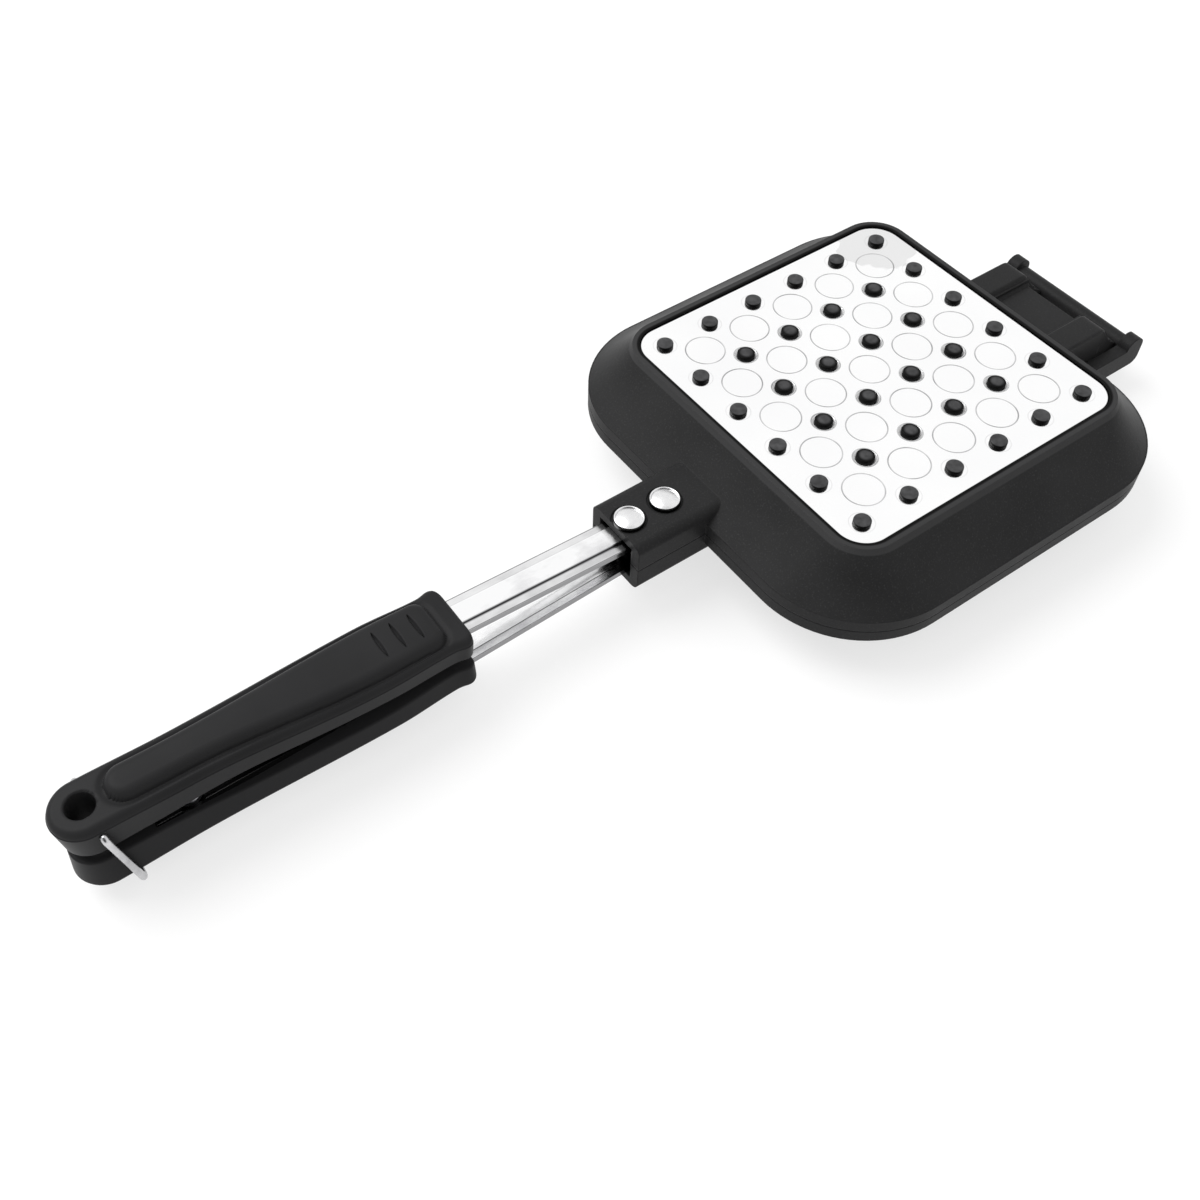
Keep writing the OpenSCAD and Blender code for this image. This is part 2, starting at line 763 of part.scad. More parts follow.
// Pan-head screw driven from the parting side through the arm
module screw(s) {
    head_r = screw_head_d / 2;
    difference() {
        union() {
            post(s, screw_d, arm_bottom - snug, grip_arm_z + insert_l - 0.8);
            post(s, screw_head_d, arm_bottom - screw_head_h + 0.6, arm_bottom);
            translate([-s, 0, arm_bottom - screw_head_h])
                cylinder(r1 = head_r - 0.6, r2 = head_r, h = 0.6 + snug);
        }
        for (a = [0, 90])
            translate([-s, 0, arm_bottom - screw_head_h])
                rotate([0, 0, a])
                    cube([0.6 * screw_head_d, 0.9, 2], center = true);
    }
}

// ---- Latch ----

// Quarter bend of the wire in the YZ plane, from the angle a, with its centre at y and z
module wire_bend(y, z, r, a) {
    translate([0, y, z])
        rotate([90, 0, 90])
            rotate([0, 0, a])
                rotate_extrude(angle = 90)
                    translate([r, 0])
                        circle(d = wire_d, $fn = 32);
}

// Straight stretch of the wire along Y
module wire_across(y0, y1, z) {
    translate([0, y1, z])
        rotate([90, 0, 0])
            cylinder(d = wire_d, h = y1 - y0, $fn = 32);
}

// The bail hangs from its pivot at the origin, with the cross wire straight below
module bail() {
    top_r = 0.6 * wire_d;
    low_r = 1.1 * wire_d;
    pin_y = leg_y - top_r;
    for (s = [0, 1])
        mirror([0, s, 0]) {
            wire_across(pin_y - pin_l, pin_y, 0);
            wire_bend(pin_y, -top_r, top_r, 0);
            translate([0, leg_y, low_r - latch_r])
                cylinder(d = wire_d, h = latch_r - low_r - top_r, $fn = 32);
            wire_bend(leg_y - low_r, low_r - latch_r, low_r, -90);
        }
    wire_across(low_r - leg_y, leg_y - low_r, -latch_r);
}

// Holes in the grip's sides for the wire ends
module pivot_holes() {
    depth = leg_y - 0.6 * wire_d - pin_l - 0.2;
    for (s = [0, 1])
        mirror([0, s, 0])
            translate([-pivot_at, depth + tail_w, pivot_h])
                rotate([90, 0, 0])
                    cylinder(d = wire_d + 2 * pin_gap, h = tail_w);
}

// ---- Placing the two halves ----

module upper_half() {
    translate([pan_x, 0, rest_h])
        children();
}

module lower_half() {
    upper_half()
        mirror([0, 0, 1])
            children();
}

module lower_pan() { color(CAST) lower_half() pan() hinge_cradle(); }
module lower_heat_plate() { color(PLATE) lower_half() heat_plate(); }
module lower_arm() { color(CHROME) lower_half() arm(); }
module lower_front_rivet() { color(RIVET) lower_half() rivet(front_rivet_at); }
module lower_rear_rivet() { color(RIVET) lower_half() rivet(rear_rivet_at); }
module lower_grip() { color(GRIP) lower_half() grip(); }
module lower_front_insert() { color(BRASS) lower_half() insert(front_screw_at); }
module lower_rear_insert() { color(BRASS) lower_half() insert(rear_screw_at); }
module lower_front_screw() { color(CHROME) lower_half() screw(front_screw_at); }
module lower_rear_screw() { color(CHROME) lower_half() screw(rear_screw_at); }

module upper_pan() { color(CAST) upper_half() pan() hinge_tab(); }
module upper_heat_plate() { color(PLATE) upper_half() heat_plate(); }
module upper_arm() { color(CHROME) upper_half() arm(); }
module upper_front_rivet() { color(RIVET) upper_half() rivet(front_rivet_at); }
module upper_rear_rivet() { color(RIVET) upper_half() rivet(rear_rivet_at); }
module upper_grip() { color(GRIP) upper_half() grip() pivot_holes(); }
module upper_front_insert() { color(BRASS) upper_half() insert(front_screw_at); }
module upper_rear_insert() { color(BRASS) upper_half() insert(rear_screw_at); }
module upper_front_screw() { color(CHROME) upper_half() screw(front_screw_at); }
module upper_rear_screw() { color(CHROME) upper_half() screw(rear_screw_at); }

module wire_latch() {
    color(CHROME)
        upper_half()
            translate([-pivot_at, 0, pivot_h])
                rotate([0, -latch_lean, 0])
                    bail();
}

lower_pan();
lower_heat_plate();
lower_arm();
lower_front_rivet();
lower_rear_rivet();
lower_grip();
lower_front_insert();
lower_rear_insert();
lower_front_screw();
lower_rear_screw();
upper_pan();
upper_heat_plate();
upper_arm();
upper_front_rivet();
upper_rear_rivet();
upper_grip();
upper_front_insert();
upper_rear_insert();
upper_front_screw();
upper_rear_screw();
wire_latch();
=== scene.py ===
"""Looks of a double-sided pie iron, dressed over its packed CAD model.

X runs from the grips (-X) to the hinge (+X) and Z is up, in metres. A place on a half is given
as in the CAD: s is the distance from the middle of the plate along the handle, y goes across,
and z is the height above the parting plane, away from the other half. These are millimetres.
"""

import math
from types import SimpleNamespace

import bpy
import numpy as np
from mathutils import Matrix, Vector


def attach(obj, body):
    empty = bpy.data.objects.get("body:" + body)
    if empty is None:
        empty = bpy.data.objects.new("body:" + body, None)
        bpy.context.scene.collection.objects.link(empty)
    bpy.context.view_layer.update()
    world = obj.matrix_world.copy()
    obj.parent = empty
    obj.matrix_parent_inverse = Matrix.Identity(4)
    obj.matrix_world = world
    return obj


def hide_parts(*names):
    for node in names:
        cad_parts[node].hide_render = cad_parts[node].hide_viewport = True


bl_info = {
    "name": "Pie Iron Looks",
    "version": (1, 0, 0),
    "blender": (4, 5, 0),
    "location": "View3D > Sidebar > Pie Iron",
    "description": "Dresses the pans, heat plates, arms, grips and latch of a pie iron",
    "category": "Object",
}

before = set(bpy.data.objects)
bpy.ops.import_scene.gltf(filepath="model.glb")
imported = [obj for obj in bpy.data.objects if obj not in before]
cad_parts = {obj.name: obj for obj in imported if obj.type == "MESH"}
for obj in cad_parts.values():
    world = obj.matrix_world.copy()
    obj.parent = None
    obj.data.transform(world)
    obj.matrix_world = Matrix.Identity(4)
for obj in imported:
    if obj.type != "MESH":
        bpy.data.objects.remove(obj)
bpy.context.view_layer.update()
HALVES = ("lower", "upper")

# What the looks follow in the CAD model, in millimetres.
PAN_X = 82.5  # X of the middle of the plate
PARTING_Z = 20.3
PLATE_TOP = 19.05
PLATE_HALF = 53.0
PLATE_CORNER = 9.0
STUD_PITCH = 18.0
CORNER_STUD = 45.0
RIVET_AT = 92.3
RIVET_PITCH = 13.1
SOCKET_MOUTH = 97.0
GRIP_START = 152.0
CHANNEL_END = 247.1
PAD_AT = 248.4  # middle of the thumb pad's round rear end
PIVOT_AT = 259.2
PIVOT_H = 10.0
TAIL_AT = 260.6  # middle of the hanging hole and of the tail's round
HOLE_R = 3.9
SCREWS_AT = (190, 236)


# ---- Small helpers ----


def settings(name):
    """The property group of that name on the scene."""
    return getattr(bpy.context.scene, name)


def lengths(name):
    """The lengths of the property group of that name, in millimetres."""
    group = settings(name)
    names = [p.identifier for p in group.bl_rna.properties if getattr(p, "unit", "") == "LENGTH"]
    return SimpleNamespace(**{n: round(1000 * getattr(group, n), 4) for n in names})


def nodes_named(ending):
    """CAD nodes of both halves whose name ends so."""
    return [o for n, o in sorted(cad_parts.items()) if n.endswith(ending)]


def eased(keys, s):
    """Value at s between key points (place, value), eased by t*t*(3 - 2*t) in each stretch."""
    s = np.asarray(s, float)
    out = np.full(s.shape, float(keys[0][1]))
    for (a, va), (b, vb) in zip(keys, keys[1:]):
        t = np.clip((s - a) / (b - a), 0, 1)
        out = np.where(s > a, va + (vb - va) * t * t * (3 - 2 * t), out)
    return out


def to_row(points, half):
    """Points (s, y, z) of a half, in mm, as row-frame points in metres."""
    sign = 1 if half == "upper" else -1
    p = np.asarray(points, float)
    out = np.empty_like(p)
    out[..., 0] = PAN_X - p[..., 0]
    out[..., 1] = p[..., 1]
    out[..., 2] = PARTING_Z + sign * p[..., 2]
    return out / 1000


def grid_faces(rows, cols, wrap):
    """Quads of a grid of rows by cols points. wrap joins the last column to the first."""
    i = np.arange(rows - 1)[:, None]
    j = np.arange(cols if wrap else cols - 1)[None, :]
    k = (j + 1) % cols
    quads = np.stack([i * cols + j, i * cols + k, (i + 1) * cols + k, (i + 1) * cols + j], -1)
    return quads.reshape(-1, 4)


def mesh_from(name, points, quads, caps=()):
    """Mesh from row-frame points, quads and end caps (each a ring of point numbers)."""
    me = bpy.data.meshes.new(name)
    faces = [tuple(q) for q in quads.tolist()] + [tuple(c) for c in caps]
    me.from_pydata(points.reshape(-1, 3), [], faces)
    me.validate()
    me.update()
    return me


def turned_out(me):
    """The same closed mesh with its faces pointing outwards."""
    if signed_volume(me) < 0:
        me.flip_normals()
    return me


def signed_volume(me):
    """Six times the volume that the mesh encloses; negative if its faces point inwards."""
    me.calc_loop_triangles()
    v = np.empty(len(me.vertices) * 3)
    me.vertices.foreach_get("co", v)
    v = v.reshape(-1, 3)
    t = np.empty(len(me.loop_triangles) * 3, int)
    me.loop_triangles.foreach_get("vertices", t)
    a, b, c = (v[t.reshape(-1, 3)[:, k]] for k in range(3))
    return float(np.einsum("ij,ij->i", a, np.cross(b, c)).sum())


def add_piece(name, me, body, material):
    """Object for a finished mesh, riding on its body and wearing the given material."""
    o = bpy.data.objects.new(name, me)
    bpy.context.scene.collection.objects.link(o)
    me.materials.clear()
    me.materials.append(material)
    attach(o, body)
    return o


def soften(obj, angle):
    """Welds the loose triangles and shades smooth up to the angle, in degrees."""
    key = "weld_and_smooth_%g" % angle
    group = bpy.data.node_groups.get(key)
    if group is None:
        group = bpy.data.node_groups.new(key, "GeometryNodeTree")
        group.interface.new_socket("Geometry", in_out="INPUT", socket_type="NodeSocketGeometry")
        group.interface.new_socket("Geometry", in_out="OUTPUT", socket_type="NodeSocketGeometry")
        start = group.nodes.new("NodeGroupInput")
        end = group.nodes.new("NodeGroupOutput")
        weld = group.nodes.new("GeometryNodeMergeByDistance")
        weld.inputs["Distance"].default_value = 2e-6
        smooth = group.nodes.new("GeometryNodeSetShadeSmooth")
        corner = group.nodes.new("GeometryNodeInputMeshEdgeAngle")
        gentle = group.nodes.new("FunctionNodeCompare")
        gentle.data_type = "FLOAT"
        gentle.operation = "LESS_THAN"
        gentle.inputs[1].default_value = math.radians(angle)
        edges = group.nodes.new("GeometryNodeSetShadeSmooth")
        edges.domain = "EDGE"
        link = group.links.new
        link(start.outputs[0], weld.inputs["Geometry"])
        link(weld.outputs[0], smooth.inputs["Geometry"])
        link(smooth.outputs[0], edges.inputs["Geometry"])
        link(corner.outputs["Unsigned Angle"], gentle.inputs[0])
        link(gentle.outputs[0], edges.inputs["Shade Smooth"])
        link(edges.outputs[0], end.inputs[0])
    m = obj.modifiers.new("weld_and_smooth", "NODES")
    m.node_group = group
    w = obj.modifiers.new("even_normals", "WEIGHTED_NORMAL")
    w.keep_sharp = True


def cut(me, cutters):
    """The mesh less the cutter meshes, by exact booleans, worked out once."""
    body = bpy.data.objects.new("blank", me)
    bpy.context.scene.collection.objects.link(body)
    tools = []
    for c in cutters:
        t = bpy.data.objects.new("cutter", c)
        bpy.context.scene.collection.objects.link(t)
        m = body.modifiers.new("cut", "BOOLEAN")
        m.operation = "DIFFERENCE"
        m.solver = "EXACT"
        m.object = t
        tools.append(t)
    bpy.context.view_layer.update()
    depsgraph = bpy.context.evaluated_depsgraph_get()
    done = bpy.data.meshes.new_from_object(body.evaluated_get(depsgraph))
    for o in tools + [body]:
        bpy.data.objects.remove(o)
    return done


def slab(points_low, points_high):
    """Closed prism between two like rings of row-frame points."""
    n = len(points_low)
    pts = np.concatenate([points_low, points_high])
    caps = [tuple(range(n))[::-1], tuple(range(n, 2 * n))]
    return turned_out(mesh_from("block", pts, grid_faces(2, n, True), caps))


def round_bar(centre, axis, radius, length, half, steps=48):
    """Cylinder about a point (s, y, z): a circle of points carried along one axis."""
    a = np.linspace(0, 2 * np.pi, steps, endpoint=False)
    u, v = radius * np.cos(a), radius * np.sin(a)
    rings = []
    for t in (-length / 2, length / 2):
        p = np.tile(np.asarray(centre, float), (steps, 1))
        if axis == "z":
            p += np.stack([u, v, np.full(steps, t)], -1)
        else:
            p += np.stack([u, np.full(steps, t), v], -1)
        rings.append(to_row(p, half))
    return slab(*rings)


def block(lo, hi, half):
    """Block between two corners (s, y, z)."""
    (s0, y0, z0), (s1, y1, z1) = lo, hi
    ring = [(s0, y0), (s1, y0), (s1, y1), (s0, y1)]
    low, high = ([(s, y, z) for s, y in ring] for z in (z0, z1))
    return slab(to_row(low, half), to_row(high, half))


# ---- Materials ----


def metres(*millimetres):
    """Those lengths in metres, as the shaders measure them."""
    return tuple(v / 1000 for v in millimetres)


def shade(colour, factor):
    """The colour times a factor."""
    return tuple(factor * c for c in colour)


class Paint:
    """A node material under construction: add() makes a node, wire() joins two sockets."""

    def __init__(self, name):
        self.material = bpy.data.materials.new(name)
        self.material.use_nodes = True
        self.tree = self.material.node_tree
        self.shader = self.tree.nodes["Principled BSDF"]
        self.place = self.add("ShaderNodeTexCoord").outputs["Object"]

    def add(self, kind, inputs=(), **attributes):
        """New node of that kind with those values on its sockets and those attributes."""
        node = self.tree.nodes.new(kind)
        for k, v in attributes.items():
            setattr(node, k, v)
        for k, v in dict(inputs).items():
            node.inputs[k].default_value = v
        return node

    def wire(self, out, into):
        """Link from one socket to another."""
        self.tree.links.new(out, into)

    def axes(self):
        """X, Y and Z of the point, in metres."""
        s = self.add("ShaderNodeSeparateXYZ")
        self.wire(self.place, s.inputs[0])
        return s.outputs

    def height(self):
        """Distance from the parting plane, |z - parting|, in metres."""
        return self.math("ABSOLUTE", self.math("SUBTRACT", self.axes()[2], PARTING_Z / 1000))

    def noise(self, scale, detail=4.0, rough=0.55, stretch=(1, 1, 1)):
        """Noise of so many waves a metre, stretched along the axes."""
        move = self.add("ShaderNodeMapping", {"Scale": stretch})
        self.wire(self.place, move.inputs["Vector"])
        n = self.add("ShaderNodeTexNoise", {"Scale": scale, "Detail": detail, "Roughness": rough})
        self.wire(move.outputs[0], n.inputs["Vector"])
        return n.outputs["Fac"]

    def between(self, value, low, high, frm=(0.3, 0.7)):
        """A number that goes from low to high as value goes over the range frm."""
        r = self.add("ShaderNodeMapRange", {1: frm[0], 2: frm[1], 3: low, 4: high})
        self.wire(value, r.inputs[0])
        return r.outputs[0]

    def mix(self, factor, a, b):
        """Colour that goes from a to b with the factor. a and b are colours or sockets."""
        m = self.add("ShaderNodeMix", data_type="RGBA")
        self.wire(factor, m.inputs[0])
        for value, socket in ((a, m.inputs[6]), (b, m.inputs[7])):
            if isinstance(value, tuple):
                socket.default_value = value + (1,)
            else:
                self.wire(value, socket)
        return m.outputs[2]

    def math(self, operation, a, b=0.0):
        """Number that an operation makes of a and b, which are numbers or sockets."""
        m = self.add("ShaderNodeMath", operation=operation)
        for value, socket in ((a, m.inputs[0]), (b, m.inputs[1])):
            if isinstance(value, (int, float)):
                socket.default_value = value
            else:
                self.wire(value, socket)
        return m.outputs[0]

    def length(self, legs):
        """Square root of the sum of the squares of two legs."""
        return self.math("SQRT", self.math("ADD", *(self.math("MULTIPLY", v, v) for v in legs)))

    def bump(self, height, strength, depth, edge=0.0):
        """Bump of that depth in metres from a height socket, over edges eased by a radius in mm."""
        b = self.add("ShaderNodeBump", {"Strength": strength, "Distance": depth})
        self.wire(height, b.inputs["Height"])
        if edge:
            eased_edge = self.add("ShaderNodeBevel", {"Radius": edge / 1000}, samples=6)
            self.wire(eased_edge.outputs[0], b.inputs["Normal"])
        self.wire(b.outputs[0], self.shader.inputs["Normal"])

    def grid_radius(self, offset, reach):
        """Distance in mm to the nearest point of a square grid of the studs' pitch about the
        middle of the plate, with that offset, as hypot(u - nearest u, v - nearest v), and 1
        within the reach, or 0 beyond it, of the larger of |x| and |y|."""
        x, y, _ = self.axes()
        legs = []
        far = []
        for axis, middle in ((x, PAN_X / 1000), (y, 0.0)):
            mm = self.math("MULTIPLY", self.math("SUBTRACT", axis, middle), 1000.0)
            steps = self.math("DIVIDE", self.math("SUBTRACT", mm, offset), STUD_PITCH)
            off = self.math("SUBTRACT", steps, self.math("ROUND", steps))
            legs.append(self.math("MULTIPLY", off, STUD_PITCH))
            far.append(self.math("ABSOLUTE", mm))
        return self.length(legs), self.math("LESS_THAN", self.math("MAXIMUM", *far), reach)

    def rounded_square(self, corner):
        """Distance in mm from the inner corner box of the plate's rounded square, of half side
        PLATE_HALF - corner, as hypot(max(|x| - side, 0), max(|y| - side, 0)) about its middle."""
        x, y, _ = self.axes()
        legs = []
        for axis, middle in ((x, PAN_X / 1000), (y, 0.0)):
            off = self.math("ABSOLUTE", self.math("SUBTRACT", axis, middle))
            mm = self.math("MULTIPLY", off, 1000.0)
            legs.append(self.math("MAXIMUM", self.math("SUBTRACT", mm, PLATE_HALF - corner), 0.0))
        return self.length(legs)

    def ring(self, radius, at, width):
        """1 on a circle of that radius, falling to 0 at a width from it on both sides."""
        away = self.math("ABSOLUTE", self.math("SUBTRACT", radius, at))
        return self.between(away, 1, 0, (0.25 * width, width))

    def set(self, **values):
        """Gives the shader's inputs, named with _ for a space, a value or a socket."""
        for k, v in values.items():
            socket = self.shader.inputs[k.replace("_", " ")]
            if isinstance(v, bpy.types.NodeSocket):
                self.wire(v, socket)
            else:
                socket.default_value = v


def once(make):
    """Keeps the material that a function made, so that both halves share it."""
    kept = {}

    def get():
        if "m" not in kept:
            kept["m"] = make()
        return kept["m"]

    return get


@once
def cast_coating():
    """Dark release coating on the castings: a fine orange-peel grain and soft patches of tone. By
    place, painted shade darkens the studs' sides above the plate, a painted highlight lightens the
    brow of the border outside the plate, a black band of painted shadow runs round the plate, and a
    painted highlight, patchy with noise, makes the studs' tops pale over the last 0.15 mm below
    their full height."""
    look = settings("pie_iron_coat")
    base = tuple(look.colour)
    p = Paint("cast_coating")
    patches = p.noise(38, 3)
    grain = p.noise(1900, 3, 0.6)
    peel = p.noise(620, 2, 0.5)
    tone = p.mix(p.between(patches, 0, 1), shade(base, 0.86), shade(base, 1.16))
    tone = p.mix(p.between(grain, 0, 1, (0.55, 0.8)), tone, shade(base, 1.9))
    z = p.height()
    inside = PLATE_CORNER - 0.1
    from_box = p.rounded_square(inside)
    on_plate = p.math("LESS_THAN", from_box, inside)
    # Painted shade: the studs' sides above the plate are darkened to a tenth of the coating's
    # colour.
    side = p.math("MULTIPLY", p.between(z, 0, 1, metres(18.9, 19.0)), on_plate)
    tone = p.mix(side, tone, shade(base, 0.1))
    # Painted highlight: the upward-facing brow of the border outside the plate is lightened to 1.8
    # times the coating.
    outside = p.between(from_box, 0, 1, (10.0, 10.3))
    brow = p.math("MULTIPLY", p.between(z, 0, 1, metres(17.9, 18.2)), outside)
    tone = p.mix(brow, tone, shade(base, 1.8))
    # Painted shadow: a black band round the plate, standing in for the shade in the gap of the
    # casting's recess.
    line = p.math("MULTIPLY", p.between(z, 0, 1, metres(18.6, 18.7)), p.ring(from_box, 9.6, 0.8))
    tone = p.mix(line, tone, (0.0, 0.0, 0.0))
    # Painted highlight: the studs' tops and top edges are lightened to the stud-top colour, in
    # patches of noise.
    top = p.between(z, 0, 1, metres(20.08, 20.22))
    highlit = p.math("MULTIPLY", top, p.between(p.noise(500, 3), 0.5, 1.0))
    tone = p.mix(highlit, tone, tuple(look.stud_highlight))
    rough = look.roughness
    p.set(Base_Color=tone, Roughness=p.between(patches, rough - 0.05, rough + 0.06), IOR=1.17)
    p.bump(p.math("ADD", p.math("MULTIPLY", grain, 0.5), peel), look.grain, 0.00012, 0.6)
    return p.material


@once
def moulded_resin():
    """Moulded heat-proof resin: an even satin skin with a fine spark-eroded grain and faint
    polish where a hand rubs it."""
    look = settings("pie_iron_grip")
    base = tuple(look.colour)
    p = Paint("moulded_resin")
    patches = p.noise(30, 3)
    grain = p.noise(2600, 2, 0.5)
    rubbed = p.noise(14, 2, stretch=(0.5, 2, 2))
    rough = look.roughness
    p.set(Base_Color=p.mix(p.between(patches, 0, 1), shade(base, 0.9), shade(base, 1.12)))
    p.set(Roughness=p.between(rubbed, rough - 0.06, rough + 0.05), IOR=1.14)
    p.bump(grain, look.grain, 0.00006)
    return p.material


@once
def plate_steel():
    """Bright polished steel sheet: near-mirror with a very fine rolled grain along X and soft
    smudges in the roughness. By place, a fine grey ring of painted shade runs round each dish and
    each stud hole, the pressed edge of the inner holes is satin and not metallic, painted shadow
    darkens the margin of the sheet, and a painted reflection greys a patch over the far corner,
    where the distance to the corner stud plus noise stays under about 13 mm."""
    look = settings("pie_iron_plate")
    p = Paint("plate_steel")
    rolled = p.noise(900, 2, 0.5, stretch=(0.04, 1, 1))
    smudge = p.noise(26, 3)
    tone = p.mix(p.between(smudge, 0, 1), (0.96, 0.96, 0.965), (1.0, 1.0, 1.0))
    broken = p.between(p.noise(160, 2), 0.45, 1.0)
    # Painted shade: a fine grey ring round each dish, for the darker look of its pressed crease.
    dish, in_dishes = p.grid_radius(0.0, 43.0)
    line = p.math("MULTIPLY", p.math("MULTIPLY", p.ring(dish, 6.2, 0.3), in_dishes), broken)
    tone = p.mix(line, tone, (0.3, 0.3, 0.305))
    hole, inner = p.grid_radius(STUD_PITCH / 2, 2 * STUD_PITCH)
    # Painted shade: a grey ring round each stud hole, stronger round the inner holes, for the
    # pressed edge's crease.
    rim = p.math("MULTIPLY", p.ring(hole, 3.75, 0.28), broken)
    strength = p.math("ADD", p.math("MULTIPLY", inner, 0.75), 0.2)
    tone = p.mix(p.math("MULTIPLY", rim, strength), tone, (0.25, 0.25, 0.255))
    pressed = p.math("MULTIPLY", p.between(hole, 1, 0, (3.6, 3.8)), inner)
    # Painted reflection: a grey patch with a ragged edge round the far corner stud.
    x, y, _ = p.axes()
    off_x = p.math("SUBTRACT", x, (PAN_X + CORNER_STUD) / 1000)
    off_y = p.math("SUBTRACT", y, CORNER_STUD / 1000)
    ragged = p.between(p.noise(90, 2), -0.007, 0.007, (0.2, 0.8))
    away = p.math("ADD", p.length((off_x, off_y)), ragged)
    tone = p.mix(p.between(away, 0.2, 0, metres(12.5, 13.5)), tone, (0.2, 0.2, 0.2))
    # Painted shadow: the sheet's edge is near black, for the gap between the sheet and the casting.
    margin = p.between(p.rounded_square(PLATE_CORNER), 0, 1, (8.8, 8.95))
    tone = p.mix(margin, tone, (0.02, 0.02, 0.02))
    rough = look.roughness
    p.set(Base_Color=tone, Metallic=p.math("SUBTRACT", 1.0, pressed))
    p.set(Roughness=p.between(smudge, rough - 0.03, rough + 0.05))
    p.bump(rolled, 0.05, 0.00004)
    return p.material


@once
def bright_strip():
    """Bright plated strip: mirror-like, with long drawn lines and a few handled smudges. By place,
    a painted reflection greys the flanges beside the raised flat, lines of painted shade follow the
    flat's foot and the strip's edges, and painted shade darkens the strip inside the grip and the
    socket."""
    look = settings("pie_iron_arm")
    p = Paint("bright_strip")
    drawn = p.noise(700, 3, 0.6, stretch=(0.02, 1, 1))
    smudge = p.noise(60, 4, 0.6, stretch=(0.6, 1, 1))
    handled = p.between(smudge, 0, 1, (0.48, 0.68))
    tone = p.mix(handled, (0.96, 0.96, 0.965), (0.66, 0.66, 0.67))
    x, y, _ = p.axes()
    across = p.math("MULTIPLY", p.math("ABSOLUTE", y), 1000.0)
    # Painted reflection: the flanges beside the raised flat are greyed, in patches of the smudge
    # noise.
    flange_reflection = p.math("MULTIPLY", p.between(across, 0, 1, (3.7, 3.9)), p.between(smudge, 0.1, 0.75))
    tone = p.mix(flange_reflection, tone, (0.5, 0.5, 0.505))
    # Painted shade: near-black lines at the foot of the raised flat and along the strip's edges.
    tone = p.mix(p.ring(across, 3.5, 0.42), tone, (0.03, 0.03, 0.032))
    tone = p.mix(p.ring(across, 6.2, 0.06), tone, (0.3, 0.3, 0.305))
    tone = p.mix(p.ring(across, 6.0, 0.14), tone, (0.05, 0.05, 0.052))
    # Painted shade: the strip is near black where it runs into the grip.
    lip_x = PAN_X - GRIP_START
    grip_shade = p.between(x, 1, 0, metres(lip_x - 1.2, lip_x + 0.2))
    tone = p.mix(grip_shade, tone, (0.05, 0.05, 0.05))
    # Painted shade: the strip is near black where it runs into the socket.
    mouth_x = PAN_X - SOCKET_MOUTH
    socket = p.between(x, 0, 1, metres(mouth_x - 3.5, mouth_x + 0.5))
    tone = p.mix(socket, tone, (0.04, 0.04, 0.04))
    rough = look.roughness
    p.set(Base_Color=tone, Metallic=1.0)
    p.set(Roughness=p.between(smudge, rough, rough + 0.16, (0.4, 0.8)))
    p.bump(drawn, 0.03, 0.00004)
    return p.material


@once
def rivet_steel():
    """Satin rivet steel: fine scratches, a painted shadow at the foot and rim where the head meets
    its seat, and a shallow dome, -r^2 about the nearer of the two rivets, in the shading of the
    head."""
    p = Paint("rivet_steel")
    fine = p.noise(1100, 4, 0.65)
    patch = p.noise(220, 2)
    tone = p.mix(p.between(fine, 0, 1), (0.78, 0.78, 0.79), (0.86, 0.86, 0.86))
    tone = p.mix(p.between(patch, 0, 0.12), tone, (0.5, 0.5, 0.505))
    # Painted shadow: the rivet is near black at its foot, where the head meets its seat.
    tone = p.mix(p.between(p.height(), 1, 0, metres(9.4, 9.8)), tone, (0.02, 0.02, 0.02))
    x, y, _ = p.axes()
    from_first = p.math("SUBTRACT", p.math("MULTIPLY", x, 1000.0), PAN_X - RIVET_AT)
    steps = p.math("DIVIDE", from_first, RIVET_PITCH)
    along = p.math("MULTIPLY", p.math("SUBTRACT", steps, p.math("ROUND", steps)), RIVET_PITCH)
    beside = p.math("MULTIPLY", y, 1000.0)
    square = p.math("ADD", p.math("MULTIPLY", along, along), p.math("MULTIPLY", beside, beside))
    radius = p.math("SQRT", square)
    # Painted shadow: a dark ring round the edge of each rivet head.
    tone = p.mix(p.between(radius, 0, 1, (4.4, 4.5)), tone, (0.03, 0.03, 0.03))
    p.set(Base_Color=tone, Metallic=1.0, Roughness=p.between(patch, 0.2, 0.3))
    height = p.math("ADD", p.math("MULTIPLY", fine, 0.0012), p.math("MULTIPLY", square, -0.0515))
    p.bump(height, 1.0, 0.0005)
    return p.material


@once
def screw_steel():
    """Zinc-plated screws: a cool grey with a fine crystalline grain."""
    p = Paint("screw_steel")
    fine = p.noise(2200, 3, 0.6)
    tone = p.mix(p.between(fine, 0, 1), (0.42, 0.43, 0.45), (0.62, 0.63, 0.65))
    p.set(Base_Color=tone, Metallic=1.0, Roughness=p.between(fine, 0.3, 0.45))
    return p.material


@once
def insert_brass():
    """Turned brass inserts: a warm tone with turning lines along Z."""
    p = Paint("insert_brass")
    turned = p.noise(3000, 2, 0.5, stretch=(0.1, 0.1, 1))
    tone = p.mix(p.between(turned, 0, 1), (0.55, 0.38, 0.14), (0.72, 0.52, 0.24))
    p.set(Base_Color=tone, Metallic=1.0, Roughness=p.between(turned, 0.22, 0.36))
    return p.material


@once
def wire_steel():
    """Drawn latch wire: bright grey with fine drawing lines and small tone patches."""
    p = Paint("wire_steel")
    drawn = p.noise(1200, 3, 0.6, stretch=(1, 1, 0.15))
    patches = p.noise(180, 3)
    tone = p.mix(p.between(patches, 0, 1), (0.42, 0.42, 0.43), (0.66, 0.66, 0.67))
    p.set(Base_Color=tone, Metallic=1.0, Roughness=p.between(drawn, 0.2, 0.32))
    p.bump(drawn, 0.1, 0.00003)
    return p.material


